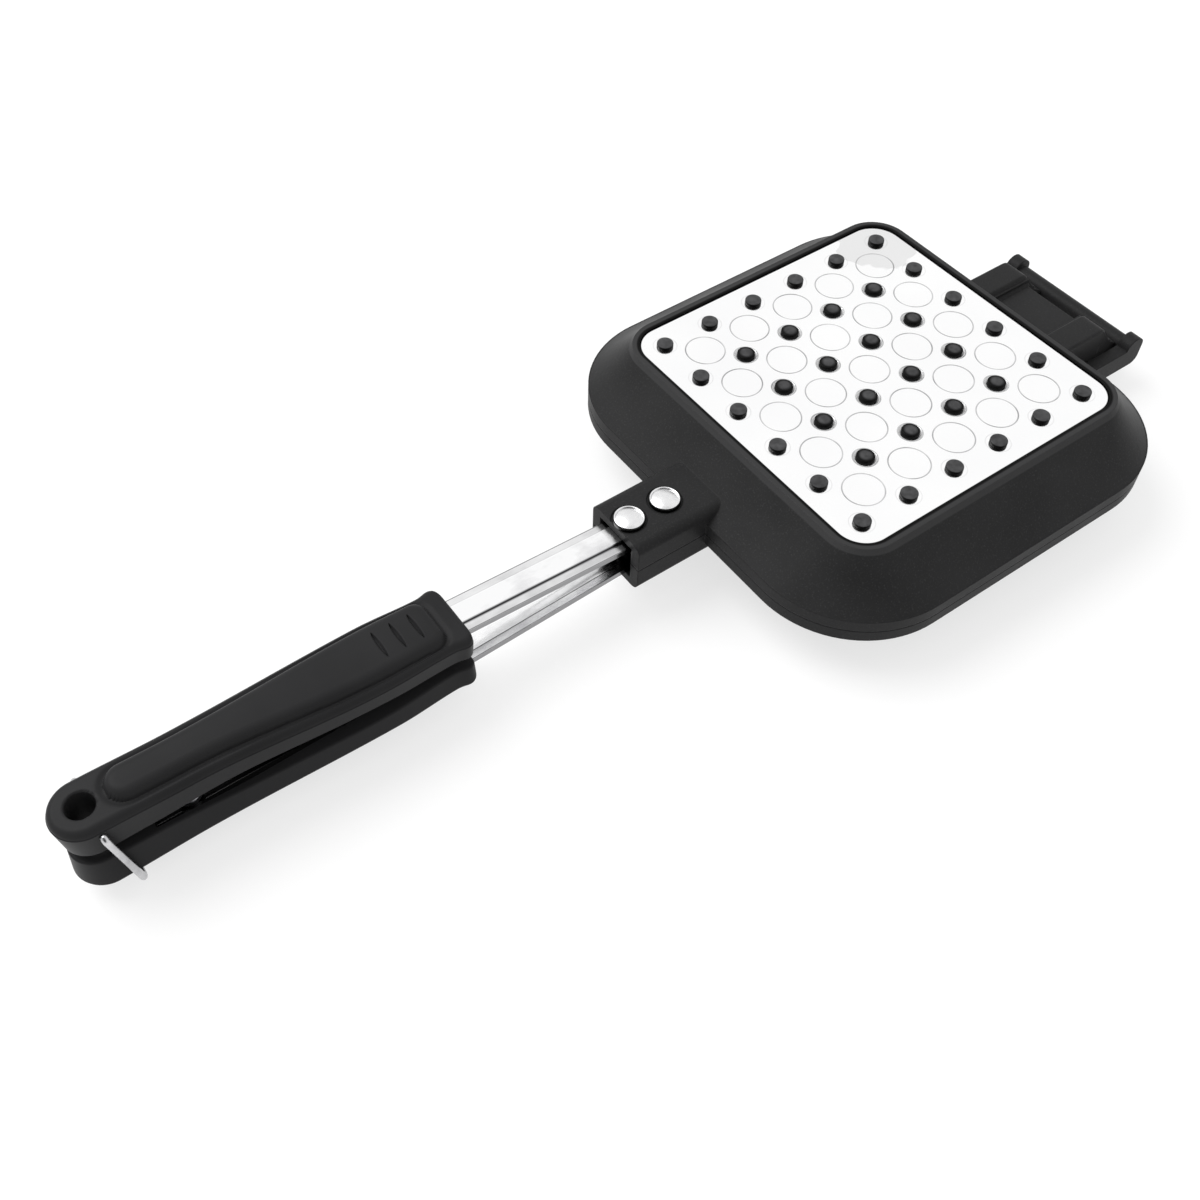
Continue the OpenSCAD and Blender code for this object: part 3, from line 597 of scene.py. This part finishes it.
# ---- Grip surface ----

# Along s: full width, top, gap over the parting plane, and width of the thumb pad.
WIDTHS = (
    (GRIP_START, 24.0), (GRIP_START + 7, 21.4), (GRIP_START + 26, 22.8),
    (GRIP_START + 83, 17.8), (TAIL_AT, 17.8),
)
TOPS = ((GRIP_START, 10.6), (GRIP_START + 26, 11.2), (GRIP_START + 83, 13.2), (TAIL_AT, 13.9))
GAPS = (
    (GRIP_START, 2.1), (GRIP_START + 4, 2.2), (GRIP_START + 40, 3.3), (GRIP_START + 68, 3.8),
    (GRIP_START + 97, 2.3), (TAIL_AT, 1.95),
)
PADS = ((GRIP_START, 16.6), (GRIP_START + 26, 17.2), (GRIP_START + 83, 11.0), (TAIL_AT, 11.0))

# Round the section.
INNER_EDGE = 0.7  # rounding between the inner face and the side
LEAN = 0.1  # of the side, against its height
CREASE_W = 0.22  # step in the width at the shoulder's foot
CREASE_H = 0.25
SHOULDER_W = 2.2
SHOULDER_H = 2.1

# On the top.
PAD_CORNER = 4.0
PAD_CROWN = 0.35
COVE_DEPTH = 0.45
SLITS = 3
SLIT_DEPTH = 0.85


def pad_inside(s, y):
    """How far a point lies inside the thumb pad's outline, in mm: a long shape with rounded front
    corners whose sides follow PADS, and a round rear end about PAD_AT."""
    look = lengths("pie_iron_grip")
    r = PAD_CORNER
    side = eased(PADS, s) / 2 - np.abs(y)
    front = s - (GRIP_START + look.pad_front)
    corner = r - np.hypot(np.maximum(r - side, 0), np.maximum(r - front, 0))
    inside = np.where((side < r) & (front < r), corner, np.minimum(side, front))
    rear = eased(PADS, PAD_AT) / 2 - np.hypot(s - PAD_AT, y)
    return np.where(s > PAD_AT, rear, inside)


def top_relief(s, y):
    """Height over the shoulders: a cove outside the pad, a quarter-ellipse rise over pad_edge to
    the pad's crown, less the finger slits, which are lens shapes cut to an even depth."""
    look = lengths("pie_iron_grip")
    d = pad_inside(s, y)
    t = np.clip(d / look.pad_edge, 0, 1)
    rise = np.sqrt(1 - (1 - t) ** 2.4)
    cove = np.exp(-((d + 0.5) / 0.9) ** 2)
    crown = PAD_CROWN * np.clip(1 - (y / (eased(PADS, s) / 2)) ** 2, 0, 1) * t
    h = (look.pad_height - PAD_CROWN) * rise + crown - COVE_DEPTH * cove * (1 - rise)
    half_l = look.slit_length / 2
    for i in range(SLITS):
        at = GRIP_START + look.slit_start + i * look.slit_pitch
        width = look.slit_width / 2 * np.clip(1 - (y / half_l) ** 2, 0, 1) ** 0.7
        near = np.clip(1 - np.abs(s - at) / np.maximum(width, 1e-3), 0, 1)
        h = h - SLIT_DEPTH * near * near * (3 - 2 * near) * (np.abs(y) < half_l)
    return h


def grip_stations(look):
    """Places of the grip's sections: s from the lip to TAIL_AT, closest at the lip and the slits,
    and the angle about the upright axis at TAIL_AT, which the sections of the tail turn through."""
    slit_from = GRIP_START + look.slit_start - 1.5
    slit_to = GRIP_START + look.slit_start + (SLITS - 1) * look.slit_pitch + 1.5
    s = np.unique(np.round(np.concatenate([
        GRIP_START + look.lip_corner * (1 - np.cos(np.linspace(0, np.pi / 2, 22))),
        np.arange(GRIP_START + look.lip_corner, slit_from, 0.4),
        np.arange(slit_from, slit_to, 0.12),
        np.arange(slit_to, TAIL_AT, 0.6),
        [TAIL_AT],
    ]), 4))
    turn = np.radians(np.linspace(0, 90, 34))[1:-1]
    s_all = np.concatenate([s, np.full(len(turn), TAIL_AT)])
    return s_all, np.concatenate([np.zeros(len(s)), turn])


def half_section(w, z0, z1):
    """Half of each section, for columns of half width, inner face and top: the inner face, its
    rounded edge, a leaning side to the shoulder crease, an elliptic shoulder, and the top. Returns
    y, z and the number of points on the top."""
    crease = z1 - SHOULDER_H
    foot = w - LEAN * (crease - z0)
    flat = np.linspace(0, 1, 8)[None, :]
    edge = np.linspace(0, np.pi / 2, 6)[None, 1:]
    up = np.linspace(0, 1, 8)[None, 1:]
    shoulder = np.linspace(0, np.pi / 2, 13)[None, :]
    top = np.linspace(1, 0, 46)[None, 1:]
    y = np.concatenate([
        (foot - INNER_EDGE) * flat,
        foot - INNER_EDGE + INNER_EDGE * np.sin(edge),
        foot + (w - foot) * up,
        w - CREASE_W - SHOULDER_W * (1 - np.cos(shoulder)),
        (w - CREASE_W - SHOULDER_W) * top,
    ], 1)
    z = np.concatenate([
        z0 + 0 * flat,
        z0 + INNER_EDGE * (1 - np.cos(edge)),
        z0 + INNER_EDGE + (crease - CREASE_H - z0 - INNER_EDGE) * up,
        crease + SHOULDER_H * np.sin(shoulder),
        z1 + 0 * top,
    ], 1)
    return y, z, top.shape[1]


def closing_faces(rows, cols, n):
    """The front cap, and the faces that join the last section's first half, of n points, to its
    mirrored half across the tail."""
    last = (rows - 1) * cols
    loop = list(range(last, last + cols))
    near = loop[:n]
    far = [loop[0]] + loop[:n - 1:-1] + [loop[n - 1]]
    across = [(near[i], near[i + 1], far[i + 1], far[i]) for i in range(n - 1)]
    return [tuple(range(cols))[::-1]] + [tuple(dict.fromkeys(f)) for f in across]


def grip_surface(half):
    """The grip as a grid: one parameter runs along the handle and, at the tail, turns round the
    upright axis at TAIL_AT; the other runs round the section. The front edge is drawn in by
    1 - sqrt(1 - (1 - t)^2) of its rounding, and its corners and the hanging hole's edge in the
    same way by theirs."""
    look = lengths("pie_iron_grip")
    s_all, a_all = grip_stations(look)
    t = np.clip((s_all - GRIP_START) / look.lip_round, 0, 1)
    inset = look.lip_round * (1 - np.sqrt(1 - (1 - t) ** 2))
    near_lip = np.clip((s_all - GRIP_START) / look.lip_corner, 0, 1)
    drawn_in = look.lip_corner * (1 - np.sqrt(1 - (1 - near_lip) ** 2))
    w = (eased(WIDTHS, s_all) / 2 - drawn_in)[:, None]
    z0 = (eased(GAPS, s_all) + inset)[:, None]
    z1 = (eased(TOPS, s_all) - inset)[:, None]
    y, z, top_points = half_section(w, z0, z1)
    n = y.shape[1]
    y = np.concatenate([y, -y[:, ::-1][:, 1:-1]], 1)
    z = np.concatenate([z, z[:, ::-1][:, 1:-1]], 1)
    rows, cols = y.shape

    a = a_all[:, None]
    s_at = s_all[:, None] + np.abs(y) * np.sin(a)
    y_at = y * np.cos(a)
    first = n - top_points - 3
    on_top = np.zeros(cols, bool)
    on_top[first:2 * n - first - 1] = True
    fade = np.clip((w - CREASE_W - np.abs(y)) / SHOULDER_W, 0, 1)
    fade = fade * fade * (3 - 2 * fade)
    z = z + np.where(on_top[None, :], top_relief(s_at, y_at) * fade * t[:, None], 0)
    from_hole = np.hypot(s_at - TAIL_AT, y_at)
    lip = np.clip((HOLE_R + look.hole_round - from_hole) / look.hole_round, 0, 0.999)
    z = z - np.where(on_top[None, :], look.hole_round * (1 - np.sqrt(1 - lip ** 2)), 0)
    pts = to_row(np.stack([s_at, y_at, z], -1), half)
    caps = closing_faces(rows, cols, n)
    return turned_out(mesh_from("grip_blank", pts, grid_faces(rows, cols, True), caps))


def grip_cutters(half):
    """What is cut from a grip: the arm's channel, deeper in the middle for the raised flat, the
    hanging hole, a well round each insert and, in the upper grip, the latch's two side holes."""
    cuts = [
        block((GRIP_START - 2, -6.35, -2), (CHANNEL_END, 6.35, 7.9), half),
        block((GRIP_START - 2, -4.1, 7.0), (CHANNEL_END, 4.1, 8.9), half),
        round_bar((TAIL_AT, 0, 8), "z", HOLE_R, 40, half),
    ]
    for s in SCREWS_AT:
        cuts.append(round_bar((s, 0, 9.5), "z", 3.05, 5.3, half))
    if half == "upper":
        for side in (-1, 1):
            cuts.append(round_bar((PIVOT_AT, side * 8.0, PIVOT_H), "y", 1.08, 7.0, half, 32))
    return cuts


# ---- Studs and hinge claws ----


def revolved(profile, centres, half, steps=40):
    """Closed turned shapes: a profile of points (radius, z), from the foot up, turned about the
    upright axis through each centre (s, y). Point = (s + r*cos(a), y + r*sin(a), z)."""
    prof = np.asarray(profile, float)
    a = np.linspace(0, 2 * np.pi, steps, endpoint=False)
    c = np.asarray(centres, float)[:, None, None, :]
    r = prof[None, :, None, 0]
    s = c[..., 0] + r * np.cos(a)
    y = c[..., 1] + r * np.sin(a)
    z = np.broadcast_to(prof[None, :, None, 1], s.shape)
    pts = to_row(np.stack([s, y, z], -1), half)
    each = len(prof) * steps
    starts = np.arange(len(centres)) * each
    quads = (starts[:, None, None] + grid_faces(len(prof), steps, True)[None]).reshape(-1, 4)
    caps = []
    for first in starts.tolist():
        caps.append(tuple(range(first, first + steps))[::-1])
        caps.append(tuple(range(first + each - steps, first + each)))
    return turned_out(mesh_from("turned", pts, quads, caps))


def stud_caps(half):
    """Enamelled stud heads over the cast studs: flat with a quarter-round edge along the outer
    rows, domed by 0.295 * (1 - (r / 2.5)^2) in the middle ones."""
    q = np.radians(np.linspace(0, 90, 6))
    flat = [(2.62, PLATE_TOP + 0.01)]
    flat += list(zip(2.42 + 0.2 * np.cos(q), 20.0 + 0.31 * np.sin(q)))
    flat += [(0.8, 20.325)]
    domed = [(2.8, PLATE_TOP - 0.5)]
    domed += list(zip(2.5 + 0.3 * np.cos(q), 19.85 + 0.17 * np.sin(q)))
    domed += [(r, 20.02 + 0.295 * (1 - (r / 2.5) ** 2)) for r in (2.1, 1.6, 1.0, 0.4)]
    at = STUD_PITCH * (np.arange(6) - 2.5)
    grid = np.stack(np.meshgrid(at, at, indexing="ij"), -1).reshape(-1, 2)
    outer = np.abs(grid).max(1) > CORNER_STUD - 5
    return revolved(flat, grid[outer], half), revolved(domed, grid[~outer], half)


def claw_block(side):
    """Raised back of one hinge claw on the upper casting. Across, it is a wall at 22.05 mm with a
    rounded shoulder, a flat top and a cosine ramp down to the middle of the tab; along, the top
    falls by a quarter ellipse at the bar end. A skirt hangs outside the rim of the lower casting,
    5.6 mm past the parting plane and, from 75.4 mm on, 9.6 mm."""
    u = np.array([
        68.6, 70.5, 72.88, 72.9, 75.38, 75.4, 80, 84, 85.5, 86.4, 87.0, 87.5, 87.9, 88.15, 88.25,
    ])
    wall, shoulder_r = 22.05, 1.0
    ramp_from, ramp_to, tab_h = 13.2, 10.4, 3.02
    under_h, skirt_in = 2.6, 12
    end = np.clip((u - 85.5) / 2.8, 0, 1)
    top = (5.06 + 1.5 * np.sqrt(1 - end ** 2))[:, None]
    foot = np.where(u > 75.39, -9.6, np.where(u > 72.89, -5.6, 2.4))[:, None]
    q = np.radians(np.linspace(0, 90, 6))[None, :]
    k = np.linspace(0, 1, 9)[None, :]
    one = np.ones_like(top)
    y = np.concatenate([
        wall * one,
        (wall - shoulder_r + shoulder_r * np.cos(q)) * one,
        (ramp_from - (ramp_from - ramp_to) * k) * one,
        ramp_to * one,
        skirt_in * one,
        skirt_in * one,
    ], 1)
    z = np.concatenate([
        foot,
        top - shoulder_r + shoulder_r * np.sin(q),
        top + (tab_h - top) * (1 - np.cos(np.pi * k)) / 2,
        under_h * one,
        under_h * one,
        foot,
    ], 1)
    pts = to_row(np.stack([np.broadcast_to(-u[:, None], y.shape), side * y, z], -1), "upper")
    rows, cols = y.shape
    caps = [tuple(range(cols))[::-1], tuple(range((rows - 1) * cols, rows * cols))]
    return turned_out(mesh_from("claw", pts, grid_faces(rows, cols, True), caps))


def claw_web(side):
    """Web of one hinge claw: a block under the claw, between the rim and the bar."""
    return block((-93.9, side * 12, -9.5), (-88.0, side * 21.9, -1.0), "upper")


# ---- Settings ----


class PieIronCoat(bpy.types.PropertyGroup):
    """Coating on the castings."""

    colour: bpy.props.FloatVectorProperty(
        name="Colour", description="Colour of the coating", subtype="COLOR",
        size=3, min=0, max=1, default=(0.021, 0.021, 0.0214))
    # Painted highlight: the colour that lightens the studs' tops.
    stud_highlight: bpy.props.FloatVectorProperty(
        name="Stud tops", description="Colour of the worn stud tops", subtype="COLOR",
        size=3, min=0, max=1, default=(0.075, 0.075, 0.077))
    roughness: bpy.props.FloatProperty(
        name="Roughness", description="Roughness of the coating", subtype="FACTOR",
        min=0.2, max=0.8, default=0.46)
    grain: bpy.props.FloatProperty(
        name="Grain", description="Strength of the coating's grain", subtype="FACTOR",
        min=0, max=1, default=0.3)


class PieIronPlate(bpy.types.PropertyGroup):
    """Steel heat plates."""

    roughness: bpy.props.FloatProperty(
        name="Roughness", description="Roughness of the polished sheet", subtype="FACTOR",
        min=0.03, max=0.5, default=0.12)


class PieIronArm(bpy.types.PropertyGroup):
    """Bright arms."""

    roughness: bpy.props.FloatProperty(
        name="Roughness", description="Roughness of the plated strip", subtype="FACTOR",
        min=0.03, max=0.5, default=0.1)


class PieIronGrip(bpy.types.PropertyGroup):
    """Moulded grips."""

    colour: bpy.props.FloatVectorProperty(
        name="Colour", description="Colour of the resin", subtype="COLOR",
        size=3, min=0, max=1, default=(0.021, 0.021, 0.0217))
    roughness: bpy.props.FloatProperty(
        name="Roughness", description="Roughness of the resin", subtype="FACTOR",
        min=0.2, max=0.8, default=0.4)
    grain: bpy.props.FloatProperty(
        name="Grain", description="Strength of the moulded grain", subtype="FACTOR",
        min=0, max=1, default=0.2)
    lip_round: bpy.props.FloatProperty(
        name="Lip rounding", description="Rounding of the front edge",
        unit="LENGTH", min=0.0004, max=0.0025, default=0.0016)
    lip_corner: bpy.props.FloatProperty(
        name="Lip corners", description="Corner radius of the front end",
        unit="LENGTH", min=0.001, max=0.006, default=0.004)
    pad_front: bpy.props.FloatProperty(
        name="Pad start", description="Distance from the lip to the thumb pad",
        unit="LENGTH", min=0.004, max=0.012, default=0.0065)
    pad_height: bpy.props.FloatProperty(
        name="Pad height", description="Height of the thumb pad's crown",
        unit="LENGTH", min=0.0006, max=0.003, default=0.0025)
    pad_edge: bpy.props.FloatProperty(
        name="Pad edge", description="Width of the thumb pad's rounded edge",
        unit="LENGTH", min=0.001, max=0.005, default=0.0028)
    slit_start: bpy.props.FloatProperty(
        name="First slit", description="Distance from the lip to the first slit",
        unit="LENGTH", min=0.008, max=0.02, default=0.0125)
    slit_pitch: bpy.props.FloatProperty(
        name="Slit pitch", description="Distance between the finger slits",
        unit="LENGTH", min=0.003, max=0.008, default=0.0056)
    slit_length: bpy.props.FloatProperty(
        name="Slit length", description="Length of a finger slit",
        unit="LENGTH", min=0.005, max=0.013, default=0.0095)
    slit_width: bpy.props.FloatProperty(
        name="Slit width", description="Width of a finger slit",
        unit="LENGTH", min=0.0005, max=0.0025, default=0.0017)
    hole_round: bpy.props.FloatProperty(
        name="Hole rounding", description="Rounding round the hanging hole",
        unit="LENGTH", min=0.0002, max=0.0012, default=0.0007)


class PieIronStage(bpy.types.PropertyGroup):
    """Studio."""

    sky: bpy.props.FloatProperty(
        name="Sky", description="Strength of the even light from all round",
        min=0, max=2, default=0.75)
    key: bpy.props.FloatProperty(
        name="Key light", description="Power of the large soft lamp",
        subtype="POWER", unit="POWER", min=0, max=200, default=16)
    floor_colour: bpy.props.FloatVectorProperty(
        name="Floor", description="Colour of the floor", subtype="COLOR",
        size=3, min=0, max=1, default=(0.34, 0.34, 0.34))


GROUPS = (
    ("pie_iron_coat", PieIronCoat),
    ("pie_iron_plate", PieIronPlate),
    ("pie_iron_arm", PieIronArm),
    ("pie_iron_grip", PieIronGrip),
    ("pie_iron_stage", PieIronStage),
)


# ---- Operators ----


def dress(objects, material, angle):
    """Gives CAD nodes a material, and smooth shading up to the angle."""
    for o in objects:
        for slot in o.material_slots:
            slot.material = material
        if not o.material_slots:
            o.data.materials.append(material)
        soften(o, angle)


class PIEIRON_OT_pans(bpy.types.Operator):
    """Dresses the two castings with their sockets, studs and hinge"""

    bl_idname = "pie_iron.pans"
    bl_label = "Pans"

    def execute(self, context):
        dress(nodes_named("_pan"), cast_coating(), 32)
        for half in HALVES:
            for kind, me in zip(("flat", "domed"), stud_caps(half)):
                name = "%s_%s_stud_heads" % (half, kind)
                soften(add_piece(name, me, half, cast_coating()), 50)
        for name, side in (("near", -1), ("far", 1)):
            for part, me in (("back", claw_block(side)), ("web", claw_web(side))):
                piece = "%s_hinge_claw_%s" % (name, part)
                soften(add_piece(piece, me, "upper", cast_coating()), 40)
        return {"FINISHED"}


class PIEIRON_OT_plates(bpy.types.Operator):
    """Dresses the steel heat plates"""

    bl_idname = "pie_iron.plates"
    bl_label = "Heat plates"

    def execute(self, context):
        dress(nodes_named("_heat_plate"), plate_steel(), 6)
        return {"FINISHED"}


class PIEIRON_OT_arms(bpy.types.Operator):
    """Dresses the bright arms"""

    bl_idname = "pie_iron.arms"
    bl_label = "Arms"

    def execute(self, context):
        dress(nodes_named("_arm"), bright_strip(), 25)
        return {"FINISHED"}


class PIEIRON_OT_fasteners(bpy.types.Operator):
    """Dresses the rivets, the grip screws and their inserts"""

    bl_idname = "pie_iron.fasteners"
    bl_label = "Rivets and screws"

    def execute(self, context):
        dress(nodes_named("_rivet"), rivet_steel(), 30)
        dress(nodes_named("_screw"), screw_steel(), 30)
        dress(nodes_named("_insert"), insert_brass(), 30)
        return {"FINISHED"}


class PIEIRON_OT_grips(bpy.types.Operator):
    """Builds the two moulded grips"""

    bl_idname = "pie_iron.grips"
    bl_label = "Grips"

    def execute(self, context):
        for half in HALVES:
            me = cut(grip_surface(half), grip_cutters(half))
            o = add_piece(half + "_grip_moulding", me, half, moulded_resin())
            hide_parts(half + "_grip")
            soften(o, 34)
        return {"FINISHED"}


class PIEIRON_OT_latch(bpy.types.Operator):
    """Dresses the wire latch"""

    bl_idname = "pie_iron.latch"
    bl_label = "Wire latch"

    def execute(self, context):
        dress([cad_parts["wire_latch"]], wire_steel(), 30)
        return {"FINISHED"}


# ---- Stage ----

DIM_TOWARDS = (-0.35, -0.54, 0.766)  # where the sky is dark in reflections
DIM_RAMP = ((1, 0.66), (2, 0.9), (3, 1.0), (4, 0.06))  # its edge, by the cosine to that direction
FLOOR_REACH = 3.0
LAMP_AT = (-0.45, 0.75, 1.25)
LENS = 40.42
LENS_SHIFT = (0.0487, -0.0273)
CAMERA = (
    (0.824842, 0.446882, -0.346311, -0.17295),
    (-0.565204, 0.637305, -0.523819, -0.20004),
    (-0.013380, 0.627804, 0.778256, 0.32662),
    (0, 0, 0, 1),
)


def white_for_seeing(tree, seen, lighting):
    """Mixes two shaders by Light Path: seen is for camera, glossy and transmission rays, and
    lighting for all others."""
    path = tree.nodes.new("ShaderNodeLightPath")
    rays = path.outputs["Is Camera Ray"]
    for kind in ("Is Glossy Ray", "Is Transmission Ray"):
        either = tree.nodes.new("ShaderNodeMath")
        either.operation = "MAXIMUM"
        tree.links.new(rays, either.inputs[0])
        tree.links.new(path.outputs[kind], either.inputs[1])
        rays = either.outputs[0]
    mix = tree.nodes.new("ShaderNodeMixShader")
    tree.links.new(rays, mix.inputs[0])
    tree.links.new(lighting, mix.inputs[1])
    tree.links.new(seen, mix.inputs[2])
    return mix.outputs[0]


def set_sky(scene, strength):
    """Even white light from all round, seen as white but for one soft dim patch, which gives
    bright metal its dark accents."""
    world = bpy.data.worlds.new("studio")
    world.use_nodes = True
    scene.world = world
    tree = world.node_tree
    light = tree.nodes["Background"]
    light.inputs["Color"].default_value = (1, 1, 1, 1)
    light.inputs["Strength"].default_value = strength
    seen = tree.nodes.new("ShaderNodeBackground")
    seen.inputs["Strength"].default_value = 1.0
    towards = tree.nodes.new("ShaderNodeTexCoord")
    facing = tree.nodes.new("ShaderNodeVectorMath")
    facing.operation = "DOT_PRODUCT"
    facing.inputs[1].default_value = DIM_TOWARDS
    dim = tree.nodes.new("ShaderNodeMapRange")
    dim.interpolation_type = "SMOOTHSTEP"
    for i, value in DIM_RAMP:
        dim.inputs[i].default_value = value
    tree.links.new(towards.outputs["Generated"], facing.inputs[0])
    tree.links.new(facing.outputs["Value"], dim.inputs[0])
    tree.links.new(dim.outputs[0], seen.inputs["Color"])
    out = white_for_seeing(tree, seen.outputs[0], light.outputs[0])
    tree.links.new(out, tree.nodes["World Output"].inputs["Surface"])


def floor_finish(colour):
    """Floor that is seen as nearly white with a soft shadow, and lights the rest as pale matte."""
    mat = bpy.data.materials.new("pale_floor")
    mat.use_nodes = True
    tree = mat.node_tree
    tree.nodes.remove(tree.nodes["Principled BSDF"])
    matte = tree.nodes.new("ShaderNodeBsdfDiffuse")
    matte.inputs["Color"].default_value = tuple(colour) + (1,)
    pale = tree.nodes.new("ShaderNodeBsdfDiffuse")
    pale.inputs["Color"].default_value = (0.8, 0.8, 0.8, 1)
    glow = tree.nodes.new("ShaderNodeEmission")
    glow.inputs["Color"].default_value = (1, 1, 1, 1)
    glow.inputs["Strength"].default_value = 0.68
    lit = tree.nodes.new("ShaderNodeAddShader")
    tree.links.new(matte.outputs[0], lit.inputs[0])
    tree.links.new(glow.outputs[0], lit.inputs[1])
    out = white_for_seeing(tree, lit.outputs[0], pale.outputs[0])
    tree.links.new(out, tree.nodes["Material Output"].inputs["Surface"])
    return mat


def lay_floor(scene, colour):
    """Square floor at z = 0."""
    x = np.linspace(-FLOOR_REACH, FLOOR_REACH, 13)
    gx, gy = np.meshgrid(x, x, indexing="ij")
    pts = np.stack([gx, gy, np.zeros_like(gx)], -1)
    me = mesh_from("floor", pts, grid_faces(13, 13, False)[:, ::-1])
    floor = bpy.data.objects.new("floor", me)
    scene.collection.objects.link(floor)
    me.materials.append(floor_finish(colour))


def hang_lamp(scene, power):
    """Large soft lamp high over the far side, aimed at the origin."""
    lamp = bpy.data.lights.new("key", "AREA")
    lamp.shape = "DISK"
    lamp.size = 1.2
    lamp.energy = power
    o = bpy.data.objects.new("key", lamp)
    o.location = LAMP_AT
    aim = Vector((0, 0, 0)) - o.location
    o.rotation_euler = aim.to_track_quat("-Z", "Y").to_euler()
    scene.collection.objects.link(o)


def set_camera(scene):
    """The camera worked out from the studs and the rim in the photograph."""
    cam = bpy.data.cameras.new("camera")
    cam.lens = LENS
    cam.sensor_width = 36
    cam.sensor_fit = "HORIZONTAL"
    cam.shift_x, cam.shift_y = LENS_SHIFT
    o = bpy.data.objects.new("camera", cam)
    o.matrix_world = Matrix(CAMERA)
    scene.collection.objects.link(o)
    scene.camera = o


class PIEIRON_OT_stage(bpy.types.Operator):
    """Sets the floor, the studio light and the camera"""

    bl_idname = "pie_iron.stage"
    bl_label = "Stage"

    def execute(self, context):
        look = settings("pie_iron_stage")
        scene = context.scene
        scene.view_settings.view_transform = "Standard"
        set_sky(scene, look.sky)
        lay_floor(scene, look.floor_colour)
        hang_lamp(scene, look.key)
        set_camera(scene)
        return {"FINISHED"}


OPERATORS = (
    PIEIRON_OT_pans,
    PIEIRON_OT_plates,
    PIEIRON_OT_arms,
    PIEIRON_OT_fasteners,
    PIEIRON_OT_grips,
    PIEIRON_OT_latch,
    PIEIRON_OT_stage,
)


class PIEIRON_PT_panel(bpy.types.Panel):
    """Sidebar panel that lists the pieces and their settings"""

    bl_idname = "PIEIRON_PT_panel"
    bl_label = "Pie Iron"
    bl_space_type = "VIEW_3D"
    bl_region_type = "UI"
    bl_category = "Pie Iron"

    def draw(self, context):
        for op in OPERATORS:
            self.layout.operator(op.bl_idname)
        for name, group in GROUPS:
            box = self.layout.box()
            box.label(text=group.__doc__)
            for prop in group.__annotations__:
                box.prop(getattr(context.scene, name), prop)


def register():
    """Registers the settings, the operators and the panel."""
    for name, group in GROUPS:
        bpy.utils.register_class(group)
        setattr(bpy.types.Scene, name, bpy.props.PointerProperty(type=group))
    for op in OPERATORS:
        bpy.utils.register_class(op)
    bpy.utils.register_class(PIEIRON_PT_panel)


def unregister():
    """Takes them away again, in the opposite order."""
    bpy.utils.unregister_class(PIEIRON_PT_panel)
    for op in reversed(OPERATORS):
        bpy.utils.unregister_class(op)
    for name, group in reversed(GROUPS):
        delattr(bpy.types.Scene, name)
        bpy.utils.unregister_class(group)


def main():
    """Builds every piece, dresses them and sets the stage."""
    register()
    bpy.ops.pie_iron.pans()
    bpy.ops.pie_iron.plates()
    bpy.ops.pie_iron.arms()
    bpy.ops.pie_iron.fasteners()
    bpy.ops.pie_iron.grips()
    bpy.ops.pie_iron.latch()
    bpy.ops.pie_iron.stage()


if __name__ == "__main__":
    main()
